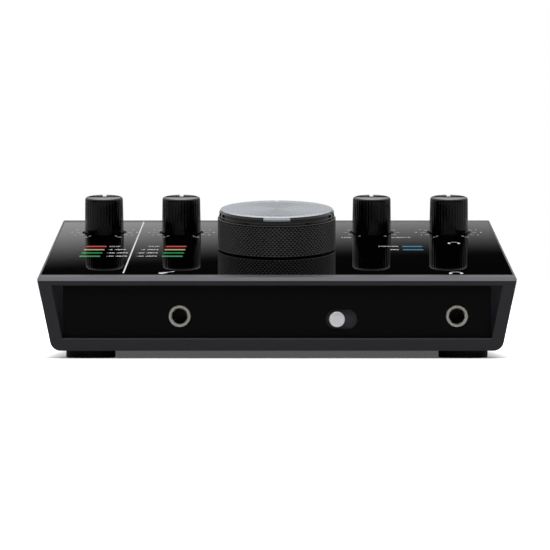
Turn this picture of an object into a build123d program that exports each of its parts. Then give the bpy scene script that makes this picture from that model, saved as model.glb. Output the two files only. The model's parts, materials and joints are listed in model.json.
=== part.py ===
from build123d import *
from math import atan2, cos, degrees, radians, sin, tan
import os

os.makedirs("parts", exist_ok=True)

# A desktop audio interface. Millimetres, +Z up, the front faces -Y, the feet stand on Z = 0.
# The top slopes up to the rear and the sides lean in towards the bottom.

# ---- housing ----
WIDTH = 203.0
DEPTH = 150.0
FOOT_HEIGHT = 3.2
FRONT_HEIGHT = 30.8
RISE = 27.4
SIDE_LEAN_DEG = 11.8
WALL = 2.2
FLOOR = 2.0
COVER_THICKNESS = 2.6
OVERLAY_THICKNESS = 1.0
OVERLAY_MARGIN = 1.2
BOTTOM_CORNER_RADIUS = 4.5
TOP_EDGE_RADIUS = 0.8
SEAT_CLEARANCE = 0.1

# ---- end frames and panels ----
FRAME_DEPTH = 7.0
PANEL_SETBACK = 5.0
PANEL_THICKNESS = 1.6
PANEL_LIP = 1.3
RIM_SIDE = 5.4
RIM_BOTTOM = 5.3
FRONT_RIM_TOP = 3.2
REAR_RIM_TOP = 5.0
FRAME_TOP_CHAMFER = 1.3
OPENING_CHAMFER = 0.5

# ---- feet ----
FOOT_DIAMETER = 21.0
FOOT_FROM_END = 14.5
FOOT_EDGE_RADIUS = 0.6

# ---- boards ----
BOARD_THICKNESS = 1.6
MAIN_BOARD_LIFT = 3.2
MAIN_BOARD_END_GAP = 2.0
MAIN_BOARD_REAR_GAP = 4.4
MAIN_BOARD_SIDE_GAP = 2.5
STANDOFF_DIAMETER = 6.0
FRONT_STANDOFF_FROM_SIDE = 23.5
FRONT_STANDOFF_FROM_FRONT = 19.0
REAR_STANDOFF_FROM_SIDE = 21.5
REAR_STANDOFF_FROM_REAR = 55.0
HANGER_FRONT_X = 20.0
HANGER_FROM_FRONT = 48.0
HANGER_FROM_REAR = 24.0
CONTROL_BOARD_FROM_REAR = 14.0
SCREW_DIAMETER = 2.9
SCREW_HOLE_DIAMETER = 3.0
SCREW_HEAD_DIAMETER = 5.4
SCREW_HEAD_HEIGHT = 1.6
SCREW_LENGTH = 6.0
BOARD_SCREW_LENGTH = 4.4
POST_DIAMETER = 7.0
POST_HOLE_DIAMETER = 8.4
FRONT_POST_FROM_SIDE = 39.5
FRONT_POST_FROM_FRONT = 37.0
REAR_POST_FROM_SIDE = 37.5
REAR_POST_FROM_REAR = 53.0

# ---- potentiometers and knobs ----
POT_SIZE = 11.0
POT_HEIGHT = 6.5
POT_TOP_GAP = 0.2
POT_COLLAR_DIAMETER = 7.0
POT_COLLAR_HEIGHT = 2.2
COLLAR_HOLE_CLEARANCE = 0.2
SHAFT_DIAMETER = 6.0
SHAFT_FIT = 0.05
SHAFT_ABOVE_PANEL = 12.0
SHAFT_FLAT_CUT = 1.4
SHAFT_FLAT_LENGTH = 9.0
SHAFT_SEAT_GAP = 0.4
KNOB_BORE_CLEARANCE = 0.03
SMALL_KNOB_DIAMETER = 18.0
SMALL_KNOB_DRAFT = 0.6
SMALL_KNOB_HEIGHT = 16.5
SMALL_KNOB_SINK = 0.5
SMALL_KNOB_WALL = 1.8
SMALL_KNOB_HUB = 10.0
SMALL_KNOB_RIM_RADIUS = 0.9
SMALL_KNOB_DISH = 0.5
SMALL_KNOB_HOLE_GAP = 1.2
SMALL_KNOB_FROM_SIDE = 21.8
SMALL_KNOB_SPACING = 35.7
SMALL_KNOB_FROM_REAR = 35.4
POINTER_WIDTH = 1.7
POINTER_DEPTH = 0.7
LARGE_KNOB_DIAMETER = 52.8
LARGE_KNOB_BODY_HEIGHT = 14.35
LARGE_KNOB_HEIGHT = 18.0
LARGE_KNOB_GAP = 0.4
LARGE_KNOB_WALL = 3.0
LARGE_KNOB_HUB = 14.0
LARGE_KNOB_ROOF = 3.0
LARGE_KNOB_FROM_FRONT = 71.3
CAP_LEDGE = 0.6
CAP_DRAFT = 0.8
CAP_SPIGOT_INSET = 5.0
CAP_SPIGOT_DEPTH = 1.2
DOT_DIAMETER = 1.6
DOT_DEPTH = 0.5
DOT_FROM_CAP_EDGE = 2.4

# ---- lights ----
BAR_LENGTH = 9.4
BAR_WIDTH = 3.0
BAR_CLEARANCE = 0.1
BAR_ROW_PITCH = 8.3
BAR_FIRST_ROW_FROM_REAR = 73.2
METER_1_FROM_SIDE = 20.45
METER_2_FROM_SIDE = 56.35
STATUS_FROM_SIDE = 40.55
METER_1_STAGGER = 0.47
METER_2_STAGGER = 0.3
LED_LENGTH = 3.2
LED_WIDTH = 1.8
LED_HEIGHT = 1.1
LIGHT_GAP = 0.3

# ---- quarter inch jacks ----
JACK_AXIS_ABOVE_BOARD = 7.7
JACK_WIDTH = 16.0
JACK_HEIGHT = 15.4
JACK_LENGTH = 30.0
SLEEVE_DIAMETER = 9.5
SLEEVE_BORE = 6.5
SLEEVE_LENGTH = 28.0
SLEEVE_CLEARANCE = 0.1
SLEEVE_HOLE_CLEARANCE = 0.2
FRONT_SLEEVE_OUT = 0.6
REAR_SLEEVE_OUT = 3.0
NUT_WALL = 1.75
NUT_THICKNESS = 2.0
INSTRUMENT_FROM_SIDE = 60.2
HEADPHONE_FROM_SIDE = 25.2

# ---- combination jack ----
COMBO_FROM_SIDE = 39.5
COMBO_AXIS_ABOVE_BOARD = 15.5
COMBO_WIDTH = 26.0
COMBO_FLANGE_HEIGHT = 31.0
COMBO_FLANGE_THICKNESS = 1.6
COMBO_LENGTH = 32.0
COMBO_NOSE_DIAMETER = 23.6
COMBO_NOSE_CLEARANCE = 0.2
COMBO_CAVITY_DIAMETER = 19.4
COMBO_CAVITY_DEPTH = 17.0
COMBO_CORE_DIAMETER = 15.0
COMBO_CORE_SETBACK = 1.0
COMBO_CORE_LENGTH = 27.0
COMBO_PIN_CIRCLE = 11.4
COMBO_PIN_DIAMETER = 2.4
COMBO_PIN_DEPTH = 14.0
COMBO_SCREW_X = 9.5
COMBO_SCREW_Z = 12.2

# ---- rear row, from the combination jack towards +X ----
FIRST_REAR_JACK_PITCH = 26.0
REAR_JACK_PITCH = 20.0
USB_FROM_SIDE = 45.5
USB_WIDTH = 9.0
USB_HEIGHT = 3.3
USB_LENGTH = 9.0
USB_SHELL = 0.3
USB_CLEARANCE = 0.2
LOCK_FROM_SIDE = 26.5
LOCK_HEIGHT_ABOVE_BOARD = 12.0
LOCK_SLOT_LENGTH = 7.0
LOCK_SLOT_WIDTH = 3.0
LOCK_PLATE_WIDTH = 14.0
LOCK_PLATE_HEIGHT = 10.0
LOCK_PLATE_THICKNESS = 1.0

# ---- slide switch ----
SWITCH_X = 27.4
SWITCH_AXIS_ABOVE_BOARD = 6.4
SWITCH_TRAVEL = 4.0
SLOT_LENGTH = 13.5
SLOT_HEIGHT = 8.2
BUTTON_DIAMETER = 6.6
BUTTON_OUT = 3.6
BUTTON_STEM = 1.2
SHIELD_LENGTH = 19.4
SHIELD_HEIGHT = 10.0
SHIELD_THICKNESS = 0.6
SHIELD_GAP = 0.2
SLIDER_LENGTH = 7.0
SLIDER_HEIGHT = 5.0
SLIDER_DEPTH = 4.0
SLIDER_CLEARANCE = 0.15
SLIDER_END_CLEARANCE = 0.4
SWITCH_BODY_LENGTH = 18.0
SWITCH_BODY_DEPTH = 7.0

# ---- board components ----
SHIELD_CAN = (34.0, 24.0, 5.0)
SHIELD_CAN_WALL = 0.5
SHIELD_CAN_FROM_FRONT = 52.0
CAPACITOR_DIAMETER = 8.0
CAPACITOR_HEIGHT = 11.0
CHIP_SIZE = 10.0
CHIP_HEIGHT = 1.4
RIBBON_WIDTH = 24.0
RIBBON_THICKNESS = 1.0
HEADER_LENGTH = 28.0
HEADER_WIDTH = 6.0
HEADER_HEIGHT = 6.0

# ---- places that follow from the sizes above ----
HALF = WIDTH / 2
FRONT = -DEPTH / 2
REAR = DEPTH / 2
FRONT_TOP = FOOT_HEIGHT + FRONT_HEIGHT
TILT = atan2(RISE, DEPTH)
LEAN = tan(radians(SIDE_LEAN_DEG))
BOARD_BOTTOM = FOOT_HEIGHT + FLOOR + MAIN_BOARD_LIFT
BOARD_TOP = BOARD_BOTTOM + BOARD_THICKNESS
JACK_Z = BOARD_TOP + JACK_AXIS_ABOVE_BOARD
COMBO_Z = BOARD_TOP + COMBO_AXIS_ABOVE_BOARD
SWITCH_Z = BOARD_TOP + SWITCH_AXIS_ABOVE_BOARD
FRONT_FACE = FRONT + PANEL_SETBACK
REAR_FACE = REAR - PANEL_SETBACK
OPENING_BOTTOM = FOOT_HEIGHT + RIM_BOTTOM
POT_TOP = COVER_THICKNESS + POT_TOP_GAP
CONTROL_TOP = POT_TOP + POT_HEIGHT
CONTROL_BOTTOM = CONTROL_TOP + BOARD_THICKNESS

SMALL_KNOB_TOP_DIAMETER = SMALL_KNOB_DIAMETER - SMALL_KNOB_DRAFT
SMALL_KNOB_HOLE = SMALL_KNOB_DIAMETER + 2 * SMALL_KNOB_HOLE_GAP
CAP_BASE_DIAMETER = LARGE_KNOB_DIAMETER - 2 * CAP_LEDGE
CAP_TOP_DIAMETER = CAP_BASE_DIAMETER - 2 * CAP_DRAFT
CAP_SPIGOT_DIAMETER = CAP_TOP_DIAMETER - 2 * CAP_SPIGOT_INSET
NUT_DIAMETER = SLEEVE_DIAMETER + 2 * NUT_WALL

# The sloped top: its own X along the width, Y up the slope, Z out of the surface.
TOP = Plane(
    origin=(0, FRONT, FRONT_TOP),
    x_dir=(1, 0, 0),
    z_dir=(0, -sin(TILT), cos(TILT)),
).location
SLOPE_LENGTH = DEPTH / cos(TILT)


def top_z(y):
    """Height of the sloped top at a distance along the depth."""
    return FRONT_TOP + (y - FRONT) * tan(TILT)


def half_width(y, z):
    """Half of the outer width at one depth and height."""
    return HALF - LEAN * (top_z(y) - z)


def on_top(x, from_front, below=0.0):
    """Place on the sloped top, at a level distance from the front edge and a depth under the surface."""
    return TOP * Pos(x, from_front / cos(TILT), -below)


def wedge(y_from, y_to, below_top=0.0, side_inset=0.0, bottom=FOOT_HEIGHT):
    """Solid with the housing's sloped top and leaning sides, moved inwards, between two upright ends."""
    inset = side_inset / cos(radians(SIDE_LEAN_DEG))
    top = top_z(y_from) - below_top / cos(TILT)
    reach = top_z(y_to) - bottom + 1.0
    wide = half_width(y_from, top) - inset
    narrow = wide - LEAN * reach
    face = Face(
        Wire.make_polygon(
            [
                (-wide, y_from, top),
                (wide, y_from, top),
                (narrow, y_from, top - reach),
                (-narrow, y_from, top - reach),
            ]
        )
    )
    along = Vector(0, cos(TILT), sin(TILT)) * ((y_to - y_from) / cos(TILT))
    prism = Solid.extrude(face, along)
    room = Pos(0, (y_from + y_to) / 2, bottom + reach) * Box(3 * WIDTH, y_to - y_from, 2 * reach)
    return prism & room


def side_edges(solid, z_at):
    """Edges that run front to back at the height that z_at gives for a depth."""
    found = []
    for edge in solid.edges():
        middle = edge @ 0.5
        level = abs(middle.Z - z_at(middle.Y)) < 0.01
        if level and abs(middle.X) > WIDTH / 8:
            found.append(edge)
    return found


def housing_block(y_from, y_to):
    """Outer shape of the whole housing between two depths, with its rounded lower corners."""
    block = wedge(y_from, y_to)
    block = fillet(side_edges(block, lambda y: FOOT_HEIGHT), BOTTOM_CORNER_RADIUS)
    return fillet(side_edges(block, top_z), TOP_EDGE_RADIUS)


def rod(diameter, y_from, y_to, x=0.0, z=0.0):
    """Level cylinder along Y."""
    length = abs(y_to - y_from)
    return Pos(x, (y_from + y_to) / 2, z) * Rot(90, 0, 0) * Cylinder(diameter / 2, length)


def block(x, y_from, y_to, z_from, z_to, width):
    """Box given by its middle in X and its ends in Y and Z."""
    size = (width, abs(y_to - y_from), z_to - z_from)
    return Pos(x, (y_from + y_to) / 2, (z_from + z_to) / 2) * Box(*size)


def upright(diameter, x, y, z_from, z_to):
    """Standing cylinder."""
    return Pos(x, y, (z_from + z_to) / 2) * Cylinder(diameter / 2, z_to - z_from)


def save(name, *solids):
    """Write one piece, or one set of equal pieces, as a node."""
    shapes = []
    for solid in solids:
        shapes.extend(solid.solids())
    shape = shapes[0] if len(shapes) == 1 else Compound(children=shapes)
    export_step(shape, f"parts/{name}.step")


# ---- places of the controls, jacks and lights ----
outer_knob = HALF - SMALL_KNOB_FROM_SIDE
inner_knob = outer_knob - SMALL_KNOB_SPACING
knob_row = DEPTH - SMALL_KNOB_FROM_REAR
small_knobs = {
    "input_1": -outer_knob,
    "input_2": -inner_knob,
    "mix": inner_knob,
    "headphones": outer_knob,
}
pots = {name: (x, knob_row) for name, x in small_knobs.items()}
pots["output"] = (0.0, LARGE_KNOB_FROM_FRONT)

front_jacks = {
    "instrument": -(HALF - INSTRUMENT_FROM_SIDE),
    "headphone": HALF - HEADPHONE_FROM_SIDE,
}
combo_x = -(HALF - COMBO_FROM_SIDE)
first_rear_jack = combo_x + FIRST_REAR_JACK_PITCH
rear_jacks = {
    "line_in": first_rear_jack,
    "out_left": first_rear_jack + REAR_JACK_PITCH,
    "out_right": first_rear_jack + 2 * REAR_JACK_PITCH,
}
usb_x = HALF - USB_FROM_SIDE
lock_x = HALF - LOCK_FROM_SIDE
lock_z = BOARD_TOP + LOCK_HEIGHT_ABOVE_BOARD

lights = []
for row in range(4):
    from_front = DEPTH - BAR_FIRST_ROW_FROM_REAR - row * BAR_ROW_PITCH
    lights.append((-(HALF - METER_1_FROM_SIDE) - row * METER_1_STAGGER, from_front))
    lights.append((-(HALF - METER_2_FROM_SIDE) - row * METER_2_STAGGER, from_front))
    if row < 2:
        lights.append((HALF - STATUS_FROM_SIDE, from_front))

posts = []
for side in (-1, 1):
    posts.append((side * (HALF - FRONT_POST_FROM_SIDE), FRONT + FRONT_POST_FROM_FRONT))
    posts.append((side * (HALF - REAR_POST_FROM_SIDE), REAR - REAR_POST_FROM_REAR))

free_front_right = (SWITCH_X + SWITCH_BODY_LENGTH / 2 + front_jacks["headphone"] - JACK_WIDTH / 2) / 2
standoffs = [
    (-(HALF - FRONT_STANDOFF_FROM_SIDE), FRONT + FRONT_STANDOFF_FROM_FRONT),
    (free_front_right, FRONT + FRONT_STANDOFF_FROM_FRONT),
    (-(HALF - REAR_STANDOFF_FROM_SIDE), REAR - REAR_STANDOFF_FROM_REAR),
    (HALF - REAR_STANDOFF_FROM_SIDE, REAR - REAR_STANDOFF_FROM_REAR),
]
hangers = []
for side in (-1, 1):
    hangers.append((side * HANGER_FRONT_X, HANGER_FROM_FRONT))
    hangers.append((side * (HALF - FRONT_POST_FROM_SIDE), DEPTH - HANGER_FROM_REAR))

# ---- tub: floor and both sides, with standoffs for the main board ----
BODY_FRONT = FRONT + FRAME_DEPTH
BODY_REAR = REAR - FRAME_DEPTH
under_cover = wedge(BODY_FRONT, BODY_REAR, below_top=COVER_THICKNESS, side_inset=-WIDTH / 20)
tub = housing_block(BODY_FRONT, BODY_REAR) & under_cover
hollow = wedge(BODY_FRONT, BODY_REAR, side_inset=WALL, bottom=FOOT_HEIGHT + FLOOR)
hollow = fillet(
    side_edges(hollow, lambda y: FOOT_HEIGHT + FLOOR),
    BOTTOM_CORNER_RADIUS - WALL,
)
tub -= hollow
for x, y in standoffs:
    tub += upright(STANDOFF_DIAMETER, x, y, FOOT_HEIGHT + FLOOR, BOARD_BOTTOM)
    tub -= upright(SCREW_HOLE_DIAMETER, x, y, FOOT_HEIGHT + FLOOR, BOARD_BOTTOM)
for x, y in posts:
    tub -= upright(SCREW_HOLE_DIAMETER, x, y, FOOT_HEIGHT, FOOT_HEIGHT + FLOOR)
    tub -= Pos(x, y, FOOT_HEIGHT + SCREW_HEAD_HEIGHT / 2) * Cone(
        SCREW_HEAD_DIAMETER / 2 + SEAT_CLEARANCE,
        SCREW_HOLE_DIAMETER / 2,
        SCREW_HEAD_HEIGHT,
    )
save("case_tub", tub)

# ---- cover: the sloped top plate, with four posts down to the floor and four short ones for the control board ----
cover = housing_block(BODY_FRONT, BODY_REAR) - under_cover
pocket = TOP * Pos(0, SLOPE_LENGTH / 2, 0) * Box(
    WIDTH - 2 * OVERLAY_MARGIN,
    2 * SLOPE_LENGTH,
    2 * OVERLAY_THICKNESS,
)
cover -= pocket
for x, y in posts:
    post = upright(POST_DIAMETER, x, y, FOOT_HEIGHT + FLOOR, top_z(y) + POST_DIAMETER) & under_cover
    cover += post
    cover -= upright(SCREW_HOLE_DIAMETER, x, y, FOOT_HEIGHT + FLOOR, FOOT_HEIGHT + FLOOR + SCREW_LENGTH)
for x, from_front in hangers:
    length = CONTROL_TOP - COVER_THICKNESS
    place = on_top(x, from_front, COVER_THICKNESS + length / 2)
    cover += place * Cylinder(STANDOFF_DIAMETER / 2, length)
    cover -= place * Cylinder(SCREW_HOLE_DIAMETER / 2, length)
for x, from_front in pots.values():
    hole = POT_COLLAR_DIAMETER / 2 + COLLAR_HOLE_CLEARANCE
    cover -= on_top(x, from_front) * Cylinder(hole, 4 * COVER_THICKNESS)
for x, from_front in lights:
    cover -= on_top(x, from_front) * Box(BAR_LENGTH, BAR_WIDTH, 4 * COVER_THICKNESS)
save("case_cover", cover)

# ---- glossy sheet in the cover's pocket ----
sheet_room = wedge(BODY_FRONT, BODY_REAR) & (
    TOP * Pos(0, SLOPE_LENGTH / 2, 0) * Box(
        WIDTH - 2 * OVERLAY_MARGIN - 2 * SEAT_CLEARANCE,
        2 * SLOPE_LENGTH,
        2 * OVERLAY_THICKNESS,
    )
)
overlay = sheet_room
for name, (x, from_front) in pots.items():
    hole = POT_COLLAR_DIAMETER / 2 + COLLAR_HOLE_CLEARANCE if name == "output" else SMALL_KNOB_HOLE / 2
    overlay -= on_top(x, from_front) * Cylinder(hole, 4 * OVERLAY_THICKNESS)
for x, from_front in lights:
    overlay -= on_top(x, from_front) * Box(BAR_LENGTH, BAR_WIDTH, 4 * OVERLAY_THICKNESS)
save("top_sheet", overlay)


def top_edge_cut(end, inwards):
    """Three-sided bar that takes the sharp top edge off one end of the housing."""
    size = FRAME_TOP_CHAMFER
    corners = [
        (-WIDTH, end, top_z(end) - size),
        (-WIDTH, end + inwards * size, top_z(end + inwards * size)),
        (-WIDTH, end - inwards * size, top_z(end) + size),
    ]
    return Solid.extrude(Face(Wire.make_polygon(corners)), Vector(2 * WIDTH, 0, 0))


# ---- end frames: a thick ring whose opening tapers from the leaning sides to the upright edges of the panel ----
def end_frame(end, inner, face, opening_top):
    """Ring at one end of the housing; its opening narrows inwards onto the rectangular panel."""
    low, high = min(end, inner), max(end, inner)
    frame = housing_block(low, high)
    bottom_half = half_width(end, OPENING_BOTTOM) - RIM_SIDE
    top_half = half_width(end, opening_top) - RIM_SIDE
    outer = Wire.make_polygon(
        [
            (-bottom_half, end, OPENING_BOTTOM),
            (bottom_half, end, OPENING_BOTTOM),
            (top_half, end, opening_top),
            (-top_half, end, opening_top),
        ]
    )
    back = Wire.make_polygon(
        [
            (-bottom_half, face, OPENING_BOTTOM),
            (bottom_half, face, OPENING_BOTTOM),
            (bottom_half, face, opening_top),
            (-bottom_half, face, opening_top),
        ]
    )
    frame -= Solid.make_loft([outer, back], ruled=True)
    rebate = block(
        0,
        face,
        inner,
        OPENING_BOTTOM - PANEL_LIP,
        opening_top + PANEL_LIP,
        2 * (bottom_half + PANEL_LIP),
    )
    frame -= rebate
    frame -= top_edge_cut(end, 1 if inner > end else -1)
    edges = []
    for edge in frame.edges():
        middle = edge @ 0.5
        if abs(middle.Y - end) < 0.01 and abs(middle.Z - OPENING_BOTTOM) < 0.01:
            edges.append(edge)
    return chamfer(edges, OPENING_CHAMFER)


def end_panel(face, inner, opening_top, end):
    """Flat plate that fills a frame's rebate."""
    bottom_half = half_width(end, OPENING_BOTTOM) - RIM_SIDE
    thickness = PANEL_THICKNESS if inner > face else -PANEL_THICKNESS
    return block(
        0,
        face,
        face + thickness,
        OPENING_BOTTOM - PANEL_LIP + SEAT_CLEARANCE,
        opening_top + PANEL_LIP - SEAT_CLEARANCE,
        2 * (bottom_half + PANEL_LIP - SEAT_CLEARANCE),
    )


front_opening_top = top_z(FRONT) - FRONT_RIM_TOP
rear_opening_top = top_z(REAR) - REAR_RIM_TOP
save("front_frame", end_frame(FRONT, BODY_FRONT, FRONT_FACE, front_opening_top))
save("rear_frame", end_frame(REAR, BODY_REAR, REAR_FACE, rear_opening_top))

# ---- front panel with two jack holes and the switch slot ----
front_panel = end_panel(FRONT_FACE, BODY_FRONT, front_opening_top, FRONT)
sleeve_hole = SLEEVE_DIAMETER + 2 * SLEEVE_HOLE_CLEARANCE
for x in front_jacks.values():
    front_panel -= rod(sleeve_hole, FRONT_FACE - 1, BODY_FRONT, x, JACK_Z)
slot = Pos(SWITCH_X, FRONT_FACE, SWITCH_Z) * Rot(90, 0, 0) * extrude(
    SlotOverall(SLOT_LENGTH, SLOT_HEIGHT),
    amount=2 * PANEL_THICKNESS,
    both=True,
)
front_panel -= slot
save("front_panel", front_panel)

# ---- rear panel with its connector holes ----
rear_panel = end_panel(REAR_FACE, BODY_REAR, rear_opening_top, REAR)
for x in rear_jacks.values():
    rear_panel -= rod(sleeve_hole, BODY_REAR, REAR_FACE + 1, x, JACK_Z)
nose_hole = COMBO_NOSE_DIAMETER + 2 * COMBO_NOSE_CLEARANCE
rear_panel -= rod(nose_hole, BODY_REAR, REAR_FACE + 1, combo_x, COMBO_Z)
combo_screws = [(combo_x - COMBO_SCREW_X, COMBO_Z + COMBO_SCREW_Z), (combo_x + COMBO_SCREW_X, COMBO_Z - COMBO_SCREW_Z)]
for x, z in combo_screws:
    rear_panel -= rod(SCREW_HOLE_DIAMETER, BODY_REAR, REAR_FACE + 1, x, z)
usb_z = BOARD_TOP + USB_HEIGHT / 2
rear_panel -= Pos(usb_x, REAR_FACE, usb_z) * Rot(90, 0, 0) * extrude(
    SlotOverall(USB_WIDTH + 2 * USB_CLEARANCE, USB_HEIGHT + 2 * USB_CLEARANCE),
    amount=2 * PANEL_THICKNESS,
    both=True,
)
lock_cut = Pos(lock_x, REAR_FACE, lock_z) * Rot(90, 0, 0) * extrude(
    RectangleRounded(LOCK_SLOT_LENGTH, LOCK_SLOT_WIDTH, LOCK_SLOT_WIDTH / 4),
    amount=3 * PANEL_THICKNESS,
    both=True,
)
rear_panel -= lock_cut
save("rear_panel", rear_panel)

# ---- steel plate behind the lock slot ----
panel_back = REAR_FACE - PANEL_THICKNESS
lock_plate = block(
    lock_x,
    panel_back - LOCK_PLATE_THICKNESS,
    panel_back,
    lock_z - LOCK_PLATE_HEIGHT / 2,
    lock_z + LOCK_PLATE_HEIGHT / 2,
    LOCK_PLATE_WIDTH,
)
save("lock_plate", lock_plate - lock_cut)

# ---- four rubber feet ----
foot_blank = Pos(0, 0, FOOT_HEIGHT / 2) * Cylinder(FOOT_DIAMETER / 2, FOOT_HEIGHT)
foot = fillet(foot_blank.edges().sort_by(Axis.Z)[0], FOOT_EDGE_RADIUS)
for end_name, y in (("front", FRONT + FOOT_FROM_END), ("rear", REAR - FOOT_FROM_END)):
    flat_half = half_width(y, FOOT_HEIGHT) - BOTTOM_CORNER_RADIUS
    for side_name, side in (("left", -1), ("right", 1)):
        x = side * (flat_half - FOOT_DIAMETER / 2)
        save(f"foot_{end_name}_{side_name}", Pos(x, y, 0) * foot)

# ---- main board ----
board_front = BODY_FRONT + MAIN_BOARD_END_GAP
board_rear = BODY_REAR - MAIN_BOARD_REAR_GAP
board_half = half_width(board_rear, BOARD_BOTTOM) - WALL / cos(radians(SIDE_LEAN_DEG)) - MAIN_BOARD_SIDE_GAP
main_board = block(0, board_front, board_rear, BOARD_BOTTOM, BOARD_TOP, 2 * board_half)
for x, y in standoffs:
    main_board -= upright(SCREW_HOLE_DIAMETER, x, y, BOARD_BOTTOM - 1, BOARD_TOP + 1)
for x, y in posts:
    main_board -= upright(POST_HOLE_DIAMETER, x, y, BOARD_BOTTOM - 1, BOARD_TOP + 1)
save("main_board", main_board)

# ---- control board, parallel to the sloped top ----
control_front = DEPTH - BAR_FIRST_ROW_FROM_REAR - 3 * BAR_ROW_PITCH - 2 * BAR_WIDTH
control_rear = DEPTH - CONTROL_BOARD_FROM_REAR
control_half = outer_knob + POT_SIZE
control_middle = (control_front + control_rear) / 2
control_board = on_top(0, control_middle, CONTROL_TOP + BOARD_THICKNESS / 2) * Box(
    2 * control_half,
    (control_rear - control_front) / cos(TILT),
    BOARD_THICKNESS,
)
for x, y in posts:
    control_board -= upright(POST_HOLE_DIAMETER, x, y, BOARD_TOP, top_z(y))
for x, from_front in hangers:
    control_board -= on_top(x, from_front, CONTROL_TOP) * Cylinder(SCREW_HOLE_DIAMETER / 2, 4 * BOARD_THICKNESS)
save("control_board", control_board)


# ---- screws ----
def pan_screw(length):
    """Screw with its head above the origin and its shank below."""
    head = Pos(0, 0, SCREW_HEAD_HEIGHT / 2) * Cylinder(SCREW_HEAD_DIAMETER / 2, SCREW_HEAD_HEIGHT)
    head = fillet(head.edges().sort_by(Axis.Z)[-1], SCREW_HEAD_HEIGHT / 3)
    screw = head + Pos(0, 0, -length / 2) * Cylinder(SCREW_DIAMETER / 2, length)
    cross = Box(SCREW_HEAD_DIAMETER * 0.55, 0.6, 1.2) + Box(0.6, SCREW_HEAD_DIAMETER * 0.55, 1.2)
    return screw - Pos(0, 0, SCREW_HEAD_HEIGHT) * cross


board_screws = []
for x, y in standoffs:
    board_screws.append(Pos(x, y, BOARD_TOP) * pan_screw(BOARD_SCREW_LENGTH))
for x, from_front in hangers:
    board_screws.append(on_top(x, from_front, CONTROL_BOTTOM) * Rot(180, 0, 0) * pan_screw(BOARD_SCREW_LENGTH))
save("board_screws", *board_screws)

case_screws = []
for x, y in posts:
    head = Cone(SCREW_HEAD_DIAMETER / 2, SCREW_DIAMETER / 2, SCREW_HEAD_HEIGHT)
    screw = Pos(x, y, FOOT_HEIGHT + SCREW_HEAD_HEIGHT / 2) * head
    screw += upright(SCREW_DIAMETER, x, y, FOOT_HEIGHT + SCREW_HEAD_HEIGHT / 2, FOOT_HEIGHT + FLOOR + SCREW_LENGTH - 1)
    cross = Box(SCREW_HEAD_DIAMETER * 0.5, 0.6, 1.0) + Box(0.6, SCREW_HEAD_DIAMETER * 0.5, 1.0)
    case_screws.append(screw - Pos(x, y, FOOT_HEIGHT) * cross)
save("case_screws", *case_screws)


# ---- potentiometers: a square case with a collar, and a shaft with a flat ----
def shaft_profile(grow=0.0):
    """Cross section of the flattened part of the shaft, grown by a clearance."""
    radius = SHAFT_DIAMETER / 2 + grow
    flat = SHAFT_DIAMETER / 2 - SHAFT_FLAT_CUT + grow
    return Circle(radius) - Pos(0, flat + 2 * radius, 0) * Rectangle(4 * radius, 4 * radius)


pot_well = POT_HEIGHT - 1.5
for name, (x, from_front) in pots.items():
    case = on_top(x, from_front, POT_TOP + POT_HEIGHT / 2) * Box(POT_SIZE, POT_SIZE, POT_HEIGHT)
    collar = on_top(x, from_front, POT_TOP - POT_COLLAR_HEIGHT / 2) * Cylinder(
        POT_COLLAR_DIAMETER / 2, POT_COLLAR_HEIGHT
    )
    bore_length = POT_COLLAR_HEIGHT + pot_well
    bore = on_top(x, from_front, POT_TOP - POT_COLLAR_HEIGHT + bore_length / 2) * Cylinder(
        SHAFT_DIAMETER / 2 + SHAFT_FIT, bore_length
    )
    save(f"pot_{name}", case + collar - bore)
    foot_depth = POT_TOP + pot_well - SHAFT_SEAT_GAP
    length = foot_depth + SHAFT_ABOVE_PANEL
    shaft = on_top(x, from_front, foot_depth - length / 2) * Cylinder(SHAFT_DIAMETER / 2, length)
    flat_top = SHAFT_ABOVE_PANEL - SHAFT_FLAT_LENGTH
    shaft &= on_top(x, from_front, foot_depth) * (
        extrude(Circle(SHAFT_DIAMETER), amount=foot_depth + flat_top)
        + Pos(0, 0, foot_depth + flat_top) * extrude(shaft_profile(), amount=SHAFT_FLAT_LENGTH)
    )
    save(f"shaft_{name}", shaft)


# ---- small knobs: hollow caps with a hub for the shaft and a white pointer let into the rim ----
def small_knob():
    """Knob and its pointer, standing on Z = 0."""
    top_radius = SMALL_KNOB_TOP_DIAMETER / 2
    height = SMALL_KNOB_HEIGHT + SMALL_KNOB_SINK
    body = Pos(0, 0, height / 2) * Cone(SMALL_KNOB_DIAMETER / 2, top_radius, height)
    body = fillet(body.edges().sort_by(Axis.Z)[-1], SMALL_KNOB_RIM_RADIUS)
    dish_radius = top_radius - 2 * SMALL_KNOB_RIM_RADIUS
    body -= Pos(0, 0, height) * Cone(dish_radius - 2 * SMALL_KNOB_DISH, dish_radius, 2 * SMALL_KNOB_DISH)
    roof = height - 3.0
    ring = Cylinder(top_radius - SMALL_KNOB_WALL, roof) - Cylinder(SMALL_KNOB_HUB / 2, roof)
    body -= Pos(0, 0, roof / 2) * ring
    socket = SHAFT_ABOVE_PANEL + SMALL_KNOB_SINK + SHAFT_SEAT_GAP
    body -= Pos(0, 0, socket - SHAFT_FLAT_LENGTH - SHAFT_SEAT_GAP) * extrude(
        shaft_profile(KNOB_BORE_CLEARANCE), amount=SHAFT_FLAT_LENGTH + SHAFT_SEAT_GAP
    )
    body -= Cylinder(
        SHAFT_DIAMETER / 2 + KNOB_BORE_CLEARANCE,
        2 * (socket - SHAFT_FLAT_LENGTH - SHAFT_SEAT_GAP),
    )
    groove = Pos(0, top_radius / 2 + 1.0, height) * Box(POINTER_WIDTH, top_radius, 2 * POINTER_DEPTH)
    groove -= Pos(0, 0, height) * Cylinder(0.35 * top_radius, 4)
    pointer = body & groove
    return body - groove, pointer


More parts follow.
